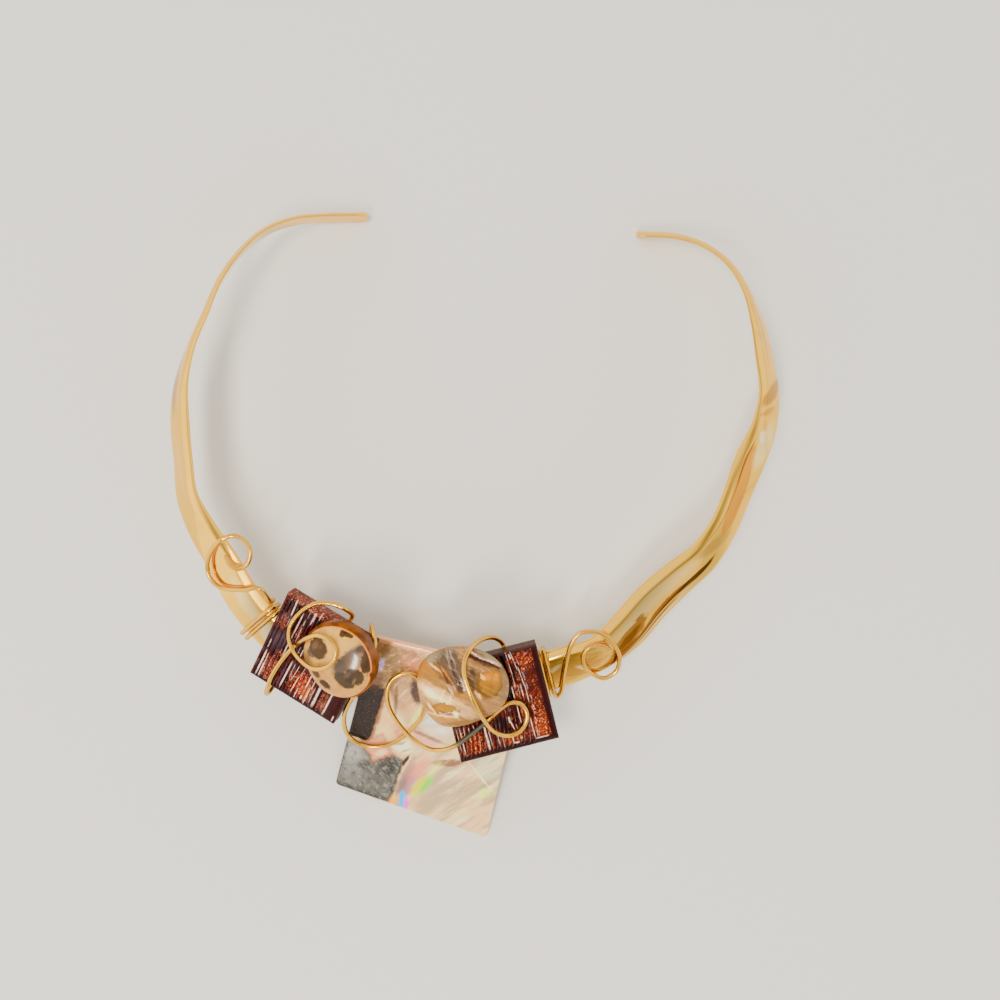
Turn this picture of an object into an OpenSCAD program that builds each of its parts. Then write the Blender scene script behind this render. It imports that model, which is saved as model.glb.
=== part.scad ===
// Open collar of forged flat strip, with a small collage of shell, glass and beads
// bound to its front by curled wire. It lies as it rests on a table: the two free ends
// and the lower edge of the shell plate touch the surface, and the sides arch clear.
// Millimetres, +Z up, front of the collar towards -Y, origin under the middle of the box.

/* [Collar band] */
// Thickness of the forged strip
band_thick = 1.4; // [1.2:0.1:1.4]
// Rounding along the long edges of the strip
band_edge = 0.55; // [0.35:0.05:0.55]
// Width of the bevel along the top edge, on the outer face
band_bevel = 1.8; // [1.2:0.1:2.4]
// Share of the thickness that the bevel takes off at the edge
bevel_share = 0.55; // [0:0.05:0.6]
// Rounding of the two free ends, seen on the flat
band_end = 2.2; // [1.2:0.2:2.6]
// Rings worked out between two stations
band_steps = 4; // [3:1:6]

/* [Shell plate] */
// Thickness of the plate
plate_thick = 1.5; // [1:0.1:1.6]
// Rounding of the four corners
plate_corner = 1; // [0.6:0.2:2]
// Slope of the plate up from its lower edge, in degrees
plate_slope = 19; // [18.7:0.1:19.2]

/* [Glass tiles] */
// Length of a side of the square tiles
tile_side = 21.5; // [20.8:0.1:21.6]
// Thickness of a tile to the top of its ribs
tile_thick = 4; // [3.4:0.1:4]
// Depth of the grooves between the ribs
groove_deep = 0.45; // [0.2:0.05:0.6]
// Bevel round the top of a tile
tile_bevel = 0.5; // [0.2:0.1:0.8]

/* [Spotted cabochon] */
// Diameter of the round bead
cab_dia = 16.8; // [16:0.1:17]
// Height of its straight side
cab_wall = 2.2; // [1.6:0.1:2.3]
// Rise of its dome
cab_dome = 2.8; // [2:0.1:2.9]

/* [Pearl nugget] */
// Thickness of the pebble
nugget_thick = 6; // [5:0.1:6.2]

/* [Wire] */
// Diameter of the wire
wire_dia = 1; // [0.8:0.05:1.05]
// Sides of the wire's mesh
wire_sides = 8; // [6:1:10]

/* [Hidden] */

// Middle of the whole collar's box, which is taken off so that it stands over the origin
middle = [0.31, 0.54, 0];

// Stations of the band, from the left end round the front to the right end.
// Lean is how far the top edge tips in towards the neck, in degrees from upright.
//          x      y     z    width lean
band_rows = [
    [-26.5,  70.6,  2.92, 5.8,   0],
    [-33.0,  70.1,  4.4,  6.0,   1],
    [-39.8,  68.8,  6.8,  6.3,   4],
    [-46.0,  65.6,  9.4,  6.6,  10],
    [-51.0,  60.2, 11.8,  6.8,  15],
    [-54.8,  53.6, 13.8,  7.0,  17],
    [-57.6,  46.4, 15.2,  7.2,  22],
    [-60.5,  39.0, 15.9,  7.4,  25],
    [-62.5,  31.0, 16.0,  7.7,  34],
    [-62.8,  23.0, 15.8,  7.8,  42],
    [-62.2,  15.0, 15.5,  7.9,  41],
    [-61.4,   7.0, 15.1,  8.2,  45],
    [-58.4,   0.1, 14.6,  8.5,  54],
    [-54.2,  -7.0, 13.7,  8.8,  60],
    [-50.0, -15.1, 12.3,  9.0,  66],
    [-44.4, -22.2, 10.4,  9.2,  69],
    [-37.6, -28.0,  9.0,  9.2,  70],
    [-29.4, -32.2,  7.8,  9.2,  71],
    [-20.4, -35.0,  7.7,  9.2,  71],
    [-11.0, -36.4,  8.2,  9.2,  71],
    [ -2.0, -36.2,  9.0,  9.2,  71],
    [  6.2, -34.6, 10.1,  9.2,  71],
    [ 13.6, -31.9, 11.3,  9.2,  71],
    [ 20.5, -29.5, 12.3,  9.2,  70],
    [ 27.2, -26.8, 13.1,  8.4,  67],
    [ 32.9, -22.0, 13.8,  9.5,  69],
    [ 38.3, -15.7, 14.4,  9.4,  69],
    [ 43.9, -10.5, 14.9,  9.0,  65],
    [ 49.4,  -5.8, 15.3,  8.7,  58],
    [ 53.6,   0.4, 15.5,  8.6,  52],
    [ 56.5,   7.5, 15.7,  8.5,  52],
    [ 59.2,  14.6, 15.7,  8.4,  58],
    [ 62.1,  21.4, 15.7,  8.2,  50],
    [ 63.4,  29.0, 15.5,  8.0,  41],
    [ 62.6,  37.0, 14.7,  7.7,  38],
    [ 61.6,  44.6, 13.3,  7.4,  33],
    [ 59.6,  51.9, 11.6,  7.0,  23],
    [ 56.2,  58.3,  9.4,  6.7,  19],
    [ 51.2,  63.0,  7.0,  6.4,  17],
    [ 44.9,  65.7,  4.7,  6.1,  16],
    [ 38.7,  66.5,  2.92, 5.8,  14]
];

// Where each flat piece lies: its top face's middle, the way uphill turned from +Y,
// its slope, and its turn in its own plane, in degrees
//             x      y     z    uphill slope turn
plate_place = [-31.9, -58.4, plate_thick * cos(plate_slope), -19.6, plate_slope, 0];
left_place  = [-34.7, -27.5, 17.2, -50, 18.5, 21];
right_place = [  5.4, -36.6, 19.5,  21, 9.6, -7];

// Corners of the plate in its own plane, from the lower left one on
plate_quad = [[0, 0], [36.6, 0], [31.2, 42.9], [-2.1, 38.9]];

// Ribs of the tiles, from the left edge on: where a rib starts, and its height as a
// share of the groove depth
//            start  height
left_ribs = [[0.0, 0.7], [1.4, 0.9], [2.4, 0.6], [3.6, 1.0], [5.2, 0.7], [6.2, 1.0],
             [7.2, 0.8], [8.4, 1.0], [9.6, 0.7], [10.6, 0.9], [11.8, 1.0], [12.8, 0.7],
             [13.8, 0.9], [15.0, 1.0], [16.2, 0.8], [17.4, 1.0]];
right_ribs = [[0.0, 0.8], [1.2, 0.6], [2.2, 1.0], [3.4, 0.7], [4.4, 0.9], [6.2, 0.7],
              [7.2, 1.0], [8.4, 0.8], [9.6, 0.6], [10.8, 0.9], [12.2, 0.5], [13.4, 0.8],
              [14.6, 0.9], [15.8, 0.7]];
// Width of the smooth bar on the right of either tile
bar_left = 3.1;
bar_right = 4.4;
// Width of the grooves at their foot, how far their sides slope, and the plain rim at the
// foot of a tile
rib_gap = 0.35;
rib_slant = 0.2;
tile_rim = 1.2;

// Where the middle of the bead's base and the middle of the pebble lie
//              x      y     z    uphill slope turn
cab_place    = [-27.2, -26.4, 20.3, -50, 23, 0];
nugget_place = [ -1.8, -31.9, 24.0,   0, 10, 0];
cab_lip = 0.4;

// Outline of the pebble, seen square on: radius every 30 degrees, from its right side on
nugget_radii = [9.4, 9.2, 8.6, 8.5, 9.1, 10, 9.4, 9.2, 9.5, 8.5, 8.1, 9.1];
nugget_lump = 0.4;

// Wires: rings worked out between two rows, and the air left where a wire goes round the
// band. The paths themselves follow below, after the functions that place them.
wire_steps = 3;
wrap_gap = 0.36;

function unit(v) = v / norm(v);
function held(rows, i) = rows[max(0, min(len(rows) - 1, i))];

// Smooth curve through the rows of a table, whatever its columns are
function through(a, b, c, d, t) =
    b + (c - a) * t / 2 + (2 * a - 5 * b + 4 * c - d) * t * t / 2
    + (3 * b - a - 3 * c + d) * t * t * t / 2;
function smooth(rows, steps) = [
    for (i = [0:len(rows) - 2], k = [0:steps - 1])
        through(held(rows, i - 1), rows[i], rows[i + 1], held(rows, i + 2), k / steps),
    rows[len(rows) - 1]
];
function place_of(row) = [row[0], row[1], row[2]];
function travel(rows, i) =
    unit(place_of(held(rows, i + 1)) - place_of(held(rows, i - 1)));

// Stands the collar over the origin
module centred() {
    translate(-middle) children();
}

// Closed skin over a list of rings that have the same number of points
module skin(rings) {
    n = len(rings[0]);
    m = len(rings);
    sides = [
        for (r = [0:m - 2], k = [0:n - 1])
            each [[r * n + k, (r + 1) * n + k, r * n + (k + 1) % n],
                  [(r + 1) * n + k, (r + 1) * n + (k + 1) % n, r * n + (k + 1) % n]]
    ];
    first = [for (k = [0:n - 1]) k];
    last = [for (k = [n - 1:-1:0]) (m - 1) * n + k];
    polyhedron([for (ring = rings) each ring], concat(sides, [first, last]), convexity = 10);
}

// Cross-section of the strip: a rectangle with rounded edges, thinned by the bevel
function strip_corner(w, t, r, c) = [
    for (a = [0, 45, 90])
        [c[0] * (w / 2 - r) + r * cos(c[2] + a), c[1] * (t / 2 - r) + r * sin(c[2] + a)]
];
function thinned(w, t, p) =
    let (near = max(0, min(1, (p[0] - w / 2) / band_bevel + 1)))
    [p[0], (p[1] + t / 2) * (1 - bevel_share * near) - t / 2];
function strip_section(w, t, r) =
    let (outline = concat(strip_corner(w, t, r, [1, 1, 0]), [[w / 2 - band_bevel, t / 2]],
                          strip_corner(w, t, r, [-1, 1, 90]), strip_corner(w, t, r, [-1, -1, 180]),
                          strip_corner(w, t, r, [1, -1, 270])))
    [for (p = outline) thinned(w, t, p)];

// Points of the band's cross-section set in place: the first value of each runs up the
// leaning face, the second square to it
function band_points(row, along, points) =
    let (flat = unit([along[0], along[1]]),
         out = [flat[1], -flat[0], 0],
         lean = row[4],
         up = [-out[0] * sin(lean), -out[1] * sin(lean), cos(lean)],
         face = [out[0] * cos(lean), out[1] * cos(lean), sin(lean)])
    [for (p = points) place_of(row) + p[0] * up + p[1] * face];
function band_ring(row, along, inset) =
    band_points(row, along, strip_section(row[3] - 2 * inset, band_thick, band_edge));

// Ring that rounds off a free end: turn is 0 on the last station and 90 at the tip,
// and way is -1 at the start of the band and 1 at its finish
function end_ring(row, along, way, turn) =
    let (shift = way * band_end * sin(turn) * along)
    band_ring([row[0] + shift[0], row[1] + shift[1], row[2] + shift[2], row[3], row[4]],
              along, band_end * (1 - cos(turn)));

module collar_band() {
    rows = smooth(band_rows, band_steps);
    last = len(rows) - 1;
    turns = [22, 45, 68, 90];
    start = [for (k = [3:-1:0]) end_ring(rows[0], travel(rows, 0), -1, turns[k])];
    along = [for (i = [0:last]) band_ring(rows[i], travel(rows, i), 0)];
    finish = [for (turn = turns) end_ring(rows[last], travel(rows, last), 1, turn)];
    color("goldenrod") centred() skin(concat(start, along, finish));
}

// Puts a piece drawn flat, its top face at zero height, where its place row says
module laid(place) {
    centred() translate([place[0], place[1], place[2]])
        rotate([0, 0, place[3]])
        rotate([place[4], 0, 0])
        rotate([0, 0, place[5]])
        children();
}

// Points of an arc of radius r that rounds the corner at b between a and c
function round_corner(a, b, c, r, steps = 6) =
    let (u = unit(a - b), v = unit(c - b),
         half = acos(u * v) / 2,
         middle = b + unit(u + v) * r / sin(half),
         from = b + u * r / tan(half) - middle,
         to = b + v * r / tan(half) - middle,
         start = atan2(from[1], from[0]),
         sweep = 180 - 2 * half)
    [for (k = [0:steps]) middle + r * [cos(start + sweep * k / steps),
                                       sin(start + sweep * k / steps)]];

module shell_plate() {
    n = len(plate_quad);
    outline = [for (k = [0:n - 1]) each round_corner(plate_quad[(k + n - 1) % n], plate_quad[k],
                                                     plate_quad[(k + 1) % n], plate_corner)];
    color("rosybrown") laid(plate_place)
        translate([0, 0, -plate_thick])
        linear_extrude(plate_thick) polygon(outline);
}

// Block with a bevel along its four top edges, its top face at zero height
module bevelled_block(side, thick, bevel) {
    intersection() {
        bevelled_bar(side, thick, bevel);
        rotate([0, 0, 90]) bevelled_bar(side, thick, bevel);
    }
}
module bevelled_bar(side, thick, bevel) {
    translate([0, side / 2, 0]) rotate([90, 0, 0])
        linear_extrude(side)
        polygon([[-side / 2, -thick], [side / 2, -thick], [side / 2, -bevel],
                 [side / 2 - bevel, 0], [bevel - side / 2, 0], [-side / 2, -bevel]]);
}

// Grooves between the ribs, as one saw-toothed cutter that runs along a tile
module grooves(ribs, finish) {
    n = len(ribs);
    tops = [for (k = [0:n - 1])
        let (to = k == n - 1 ? finish : ribs[k + 1][0],
             top = -groove_deep * (1 - ribs[k][1]),
             from = ribs[k][0])
        each [[from, -groove_deep], [from + rib_slant, top],
              [to - rib_gap - rib_slant, top], [to - rib_gap, -groove_deep]]];
    polygon(concat(tops, [[finish, -groove_deep], [finish, 1], [0, 1]]));
}

// Tile with ribs that run up it, a smooth bar on its right and a plain rim at its foot
module glass_tile(ribs, bar) {
    difference() {
        bevelled_block(tile_side, tile_thick, tile_bevel);
        translate([-tile_side / 2, tile_side, 0]) rotate([90, 0, 0])
            linear_extrude(1.5 * tile_side - tile_rim) grooves(ribs, tile_side - bar);
    }
}

module glass_tile_left() {
    color("saddlebrown") laid(left_place) glass_tile(left_ribs, bar_left);
}

module glass_tile_right() {
    color("brown") laid(right_place) glass_tile(right_ribs, bar_right);
}

// Side view of the bead, from its base up over the rim to the top of the dome
module cabochon_side() {
    rim = cab_dia / 2;
    dome = [for (k = [0:7]) [(rim - cab_lip) * cos(k * 90 / 8),
                             cab_wall + cab_dome * sin(k * 90 / 8)]];
    polygon(concat([[0, 0], [rim - cab_lip, 0], [rim, cab_lip], [rim, cab_wall - cab_lip / 2]],
                   dome, [[0, cab_wall + cab_dome]]));
}

module spotted_cabochon() {
    color("tan") laid(cab_place)
        rotate_extrude($fn = 72) cabochon_side();
}

// Radius of the pebble's outline at a bearing, smoothed between the rows of its table
function nugget_radius(bearing) =
    let (n = len(nugget_radii),
         at = bearing / 30,
         i = floor(at),
         row = [for (k = [-1:2]) nugget_radii[(i + k + n) % n]])
    through(row[0], row[1], row[2], row[3], at - i);

// Ring of the pebble at a height angle from its underside, -90, to its top, 90
function nugget_ring(rise) = [
    for (bearing = [0:15:345])
        let (r = nugget_radius(bearing) * pow(cos(rise), 0.85),
             lump = nugget_lump * sin(2 * bearing + 40) * cos(rise))
        [r * cos(bearing), r * sin(bearing), nugget_thick / 2 * sin(rise) + lump]
];

module pearl_nugget() {
    color("wheat") laid(nugget_place)
        skin([for (rise = [-84, -66, -48, -32, -16, 0, 16, 32, 48, 66, 84]) nugget_ring(rise)]);
}

// Station of the band at a row number that need not be whole
function station(at) =
    let (i = floor(at))
    through(held(band_rows, i - 1), held(band_rows, i), held(band_rows, i + 1),
            held(band_rows, i + 2), at - i);
function band_spot(at, across, over) =
    let (way = unit(place_of(station(at + 0.05)) - place_of(station(at - 0.05))))
    band_points(station(at), way, [[across, over]])[0];

// Places for a wire that binds the band at a station: beside its outer face, 1, or its
// under face, -1, and round its top edge, 1, or its lower edge, -1, at a turn in degrees
wrap_reach = band_thick / 2 + wire_dia / 2 + wrap_gap;
function beside_band(at, across, side) = band_spot(at, across, side * wrap_reach);
function round_edge(at, edge, turn) =
    band_spot(at, edge * ((station(at)[3] - band_thick) / 2 + wrap_reach * cos(turn)),
              wrap_reach * sin(turn));

// Paths of the four wires: places on the middle line, about six to a turn of a curl
//   x      y      z
left_wrap = [
    [-52.6, -5.7, 16.5], [-51.8, -7.4, 16.4], [-49.9, -8.3, 16.5], [-47.9, -7.0, 17.0],
    [-47.2, -4.4, 17.6], [-48.5, -2.1, 17.8], [-50.8, -1.2, 17.8], [-53.4, -2.1, 17.7],
    [-56.0, -4.5, 15.7], [-57.4, -7.6, 13.9], [-56.9, -10.7, 12.9], [-54.4, -12.6, 13.2],
    [-49.2, -12.9, 15.0], [-46.6, -12.4, 15.8], [-45.2, -12.9, 15.7],
    round_edge(14.43, 1, 10), round_edge(14.46, 1, -70), round_edge(14.56, -1, -75),
    round_edge(14.59, -1, 0), round_edge(14.6, -1, 70), beside_band(14.6, 0, 1),
    round_edge(14.61, 1, 65), round_edge(14.63, 1, 0), round_edge(14.65, 1, -70),
    round_edge(14.71, -1, -75), round_edge(14.74, -1, 0), round_edge(14.75, -1, 70),
    beside_band(14.76, 0, 1), round_edge(14.78, 1, 65), round_edge(14.8, 1, 0),
    round_edge(14.84, 1, -70), beside_band(14.9, 0, -1)
];
cabochon_curl = [
    beside_band(16.4, 0, -1), round_edge(16.45, 1, -75), round_edge(16.47, 1, -35),
    round_edge(16.48, 1, 5),
    [-30.2, -23.9, 12.0], [-27.6, -20.7, 14.6], [-25.6, -18.2, 17.4], [-26.3, -16.6, 20.4],
    [-28.1, -15.6, 21.0], [-30.1, -15.1, 21.0], [-32.7, -15.2, 20.7], [-35.3, -16.5, 20.1],
    [-37.3, -18.4, 19.4], [-38.5, -20.5, 18.9], [-38.6, -23.0, 19.1], [-37.5, -25.4, 19.8],
    [-35.4, -27.1, 21.9], [-33.1, -28.1, 23.9], [-30.9, -28.1, 25.0], [-28.7, -27.0, 26.0],
    [-27.6, -24.6, 26.7], [-28.6, -22.3, 26.6], [-31.4, -21.2, 25.4], [-33.8, -21.9, 23.8],
    [-35.5, -22.9, 21.6], [-37.3, -24.2, 18.6], [-38.8, -25.5, 17.4], [-41.2, -28.3, 16.2],
    [-43.2, -31.3, 15.0], [-44.3, -33.8, 14.0], [-45.2, -35.5, 11.8], [-45.2, -36.0, 9.2],
    [-43.9, -33.7, 7.9], round_edge(15.75, -1, -60), beside_band(15.85, -1.5, -1)
];
front_scroll = [
    beside_band(17.6, -1, -1), beside_band(17.6, 3, -1), [-23.0, -26.2, 8.9],
    [-22.5, -23.3, 11.0], [-21.9, -21.0, 14.5], [-21.4, -20.0, 18.4], [-20.6, -21.5, 21.3],
    [-20.2, -24.2, 22.3], [-21.6, -27.8, 20.6], [-23.7, -31.8, 18.2], [-25.9, -35.9, 15.8],
    [-27.7, -39.2, 13.4], [-28.4, -42.3, 10.8], [-27.9, -45.5, 8.4], [-25.7, -47.8, 6.9],
    [-22.4, -48.5, 6.6], [-19.0, -47.9, 7.2], [-16.0, -46.2, 8.2], [-13.2, -43.5, 9.4],
    [-11.4, -40.8, 10.6], [-10.8, -37.8, 11.7], [-11.2, -34.3, 12.6], [-12.6, -31.5, 13.6],
    [-15.2, -31.0, 13.9], [-17.6, -32.4, 13.6], [-18.7, -35.1, 13.3], [-18.2, -38.6, 13.2],
    [-16.1, -42.1, 13.3], [-13.3, -44.9, 13.9], [-9.7, -46.7, 15.6], [-6.4, -46.4, 17.9],
    [-3.5, -45.1, 19.3], [-0.6, -42.9, 19.6], [2.3, -40.5, 19.7], [4.9, -38.1, 20.0],
    [7.6, -36.1, 20.2], [10.1, -36.3, 20.0], [11.4, -38.7, 19.6], [10.5, -41.5, 19.3],
    [8.2, -42.9, 19.6], [5.9, -42.5, 20.8], [4.0, -41.0, 22.8], [2.7, -38.9, 25.2],
    [1.4, -36.5, 27.0], [-0.1, -33.1, 28.1], [-1.4, -29.2, 28.5], [-1.5, -26.2, 28.3],
    [-0.4, -23.8, 27.2], [1.6, -22.3, 24.8], [3.8, -22.1, 21.9], [5.7, -23.3, 18.6],
    [6.6, -25.5, 15.2], [5.9, -27.8, 12.9], round_edge(21.03, 1, 0), round_edge(21, 1, -75),
    beside_band(21, 0, -1)
];
right_wrap = [
    beside_band(22.08, 0, -1), round_edge(22.24, 1, -75), round_edge(22.26, 1, 0),
    round_edge(22.25, 1, 70), beside_band(22.2, 0, 1), round_edge(22.16, -1, 70),
    round_edge(22.16, -1, 0), round_edge(22.2, -1, -75), round_edge(22.42, 1, -75),
    round_edge(22.45, 1, 0), [15.0, -26.0, 15.0], [15.8, -29.1, 13.9], [16.7, -32.8, 12.6],
    [17.5, -35.6, 11.4], [18.3, -36.5, 10.6], [19.1, -35.0, 11.6], [19.5, -31.5, 13.0],
    [20.1, -27.7, 14.6], [20.9, -24.3, 15.9], [22.5, -22.1, 16.7], [24.6, -21.6, 16.8],
    [27.0, -22.0, 16.4], [29.2, -23.5, 15.7], [30.8, -25.6, 14.7], [31.5, -27.9, 13.7],
    [30.9, -30.7, 12.5], [28.5, -32.3, 12.1], [26.1, -31.5, 12.7], [24.2, -29.8, 13.8],
    [23.5, -27.7, 14.7], [24.1, -25.7, 15.5], [25.8, -24.7, 15.8], [27.7, -24.8, 15.4],
    [29.1, -25.6, 14.9]
];

// Round wire along a path, with a softly rounded end at either side
module wire(path) {
    line = smooth(path, wire_steps);
    last = len(line) - 1;
    ways = [for (i = [0:last]) travel(line, i)];
    sides = [for (i = 0, side = square_to(ways[0]); i <= last;
                  i = i + 1, side = unit(side - (side * held(ways, i)) * held(ways, i))) side];
    turns = [70, 35];
    start = [for (turn = turns) wire_ring(line[0], ways[0], sides[0], -1, turn)];
    along = [for (i = [0:last]) wire_ring(line[i], ways[i], sides[i], 1, 0)];
    finish = [for (k = [1, 0]) wire_ring(line[last], ways[last], sides[last], 1, turns[k])];
    color("gold") centred() skin(concat(start, along, finish));
}
function square_to(way) = unit(cross(way, abs(way[2]) < 0.8 ? [0, 0, 1] : [1, 0, 0]));
function wire_ring(spot, way, side, end, turn) =
    let (r = wire_dia / 2 * cos(turn),
         centre = spot + end * wire_dia / 2 * sin(turn) * way)
    [for (k = [0:wire_sides - 1])
        let (a = 360 * k / wire_sides)
        centre + r * cos(a) * side + r * sin(a) * cross(way, side)];

module wire_left_wrap() { wire(left_wrap); }
module wire_cabochon_curl() { wire(cabochon_curl); }
module wire_front_scroll() { wire(front_scroll); }
module wire_right_wrap() { wire(right_wrap); }

collar_band();
shell_plate();
glass_tile_left();
glass_tile_right();
spotted_cabochon();
pearl_nugget();
wire_left_wrap();
wire_cabochon_curl();
wire_front_scroll();
wire_right_wrap();
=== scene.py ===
import math

import bmesh
import bpy
import numpy as np
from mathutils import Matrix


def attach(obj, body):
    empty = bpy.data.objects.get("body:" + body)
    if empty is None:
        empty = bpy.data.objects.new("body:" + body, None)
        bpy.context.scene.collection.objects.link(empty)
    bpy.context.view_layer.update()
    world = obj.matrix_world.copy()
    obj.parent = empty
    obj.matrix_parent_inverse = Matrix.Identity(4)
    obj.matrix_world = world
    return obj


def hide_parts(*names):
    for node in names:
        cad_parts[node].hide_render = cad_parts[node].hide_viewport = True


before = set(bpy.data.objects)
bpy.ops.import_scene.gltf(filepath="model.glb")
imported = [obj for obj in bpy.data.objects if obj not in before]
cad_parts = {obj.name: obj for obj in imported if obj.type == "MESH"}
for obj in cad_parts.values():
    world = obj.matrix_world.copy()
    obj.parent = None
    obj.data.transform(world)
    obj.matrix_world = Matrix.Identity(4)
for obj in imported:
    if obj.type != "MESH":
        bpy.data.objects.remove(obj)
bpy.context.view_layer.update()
scene = bpy.context.scene
middle = np.array([0.31, 0.54, 0.0])      # mm taken off every table below, to stand over the origin
mmPerMetre = 1000
fullTurn = 2 * np.pi
print("frame loaded:", len(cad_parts), "nodes")


# camera, floor and light

viewLook = {
    "place": (5.39, 5.86, 230.0),         # mm, straight over the collar
    "focal": 1.003,                       # focal length in picture widths
    "sensor": 36.0,
    "near": 0.01, "far": 20,              # m
}
camera = bpy.data.cameras.new("overhead")
camera.sensor_width = viewLook["sensor"]
camera.lens = viewLook["sensor"] * viewLook["focal"]
camera.clip_start, camera.clip_end = viewLook["near"], viewLook["far"]
eye = bpy.data.objects.new("overhead", camera)
eye.location = [v / mmPerMetre for v in viewLook["place"]]
scene.collection.objects.link(eye)
scene.camera = eye


toneLook = {
    "mixIn": 0.080, "mixOut": 0.100,      # share of each of the other channels before and after the bend
    "half": 0.222, "power": 0.90,         # the bend: light that gives half of its top, and its steepness
    "top": 0.965, "low": 0.011,           # the bend's top, and the little that is added after it
    "light": 2.15, "veil": 0.012,         # light on level ground, and the paint's worth of gloss over it
    "whitest": 0.90,                      # brighter colours are dimmed to this, so that none is cut off
    "ends": (0.0001, 0.964),              # limits between which the curve can be taken backwards
    "darkest": 0.0008, "palest": 0.94,    # limits of the paint
}


def plain(red, green, blue):
    # screen colour, 0 to 255, turned into the linear colour that shaders use, by the usual screen curve
    share = np.array([red, green, blue]) / 255
    linear = np.where(share > 0.04045, ((share + 0.055) / 1.055) ** 2.4, share / 12.92)
    return (*[float(v) for v in linear], 1.0)


def tint(red, green, blue):
    # paint that shows as this screen colour: the picture's tone curve, which mixes the channels, bends each
    # towards white and mixes them again, is taken backwards, then the light on level ground and the gloss
    look = toneLook
    shown = np.array([red, green, blue]) / 255
    shown = shown * min(1, look["whitest"] / shown.max())
    shown = shown * (1 - 3 * look["mixOut"]) + look["mixOut"] * shown.sum() - look["low"]
    shown = np.clip(shown, *look["ends"])
    bent = look["half"] * (shown / (look["top"] - shown)) ** (1 / look["power"])
    paint = (bent - look["mixIn"] * bent.sum()) / (1 - 3 * look["mixIn"]) / look["light"] - look["veil"]
    return (*[float(v) for v in np.clip(paint, look["darkest"], 1)], 1.0)


class Signal:
    # one output socket; sums, differences and products of signals add Math nodes to its tree
    def __init__(self, wiring, socket):
        self.wiring, self.socket = wiring, socket

    def join(self, operation, first, second):
        return self.wiring.add("ShaderNodeMath", {"operation": operation}, {0: first, 1: second})

    def __add__(self, other):
        return self.join("ADD", self, other)

    def __sub__(self, other):
        return self.join("SUBTRACT", self, other)

    def __rsub__(self, other):
        return self.join("SUBTRACT", other, self)

    def __mul__(self, other):
        return self.join("MULTIPLY", self, other)

    __radd__, __rmul__ = __add__, __mul__


spotDepth = 1000                          # mm: spots reach right through a piece
blockCorner = 0.25                        # roundness of a blocky spot's corners


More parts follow.
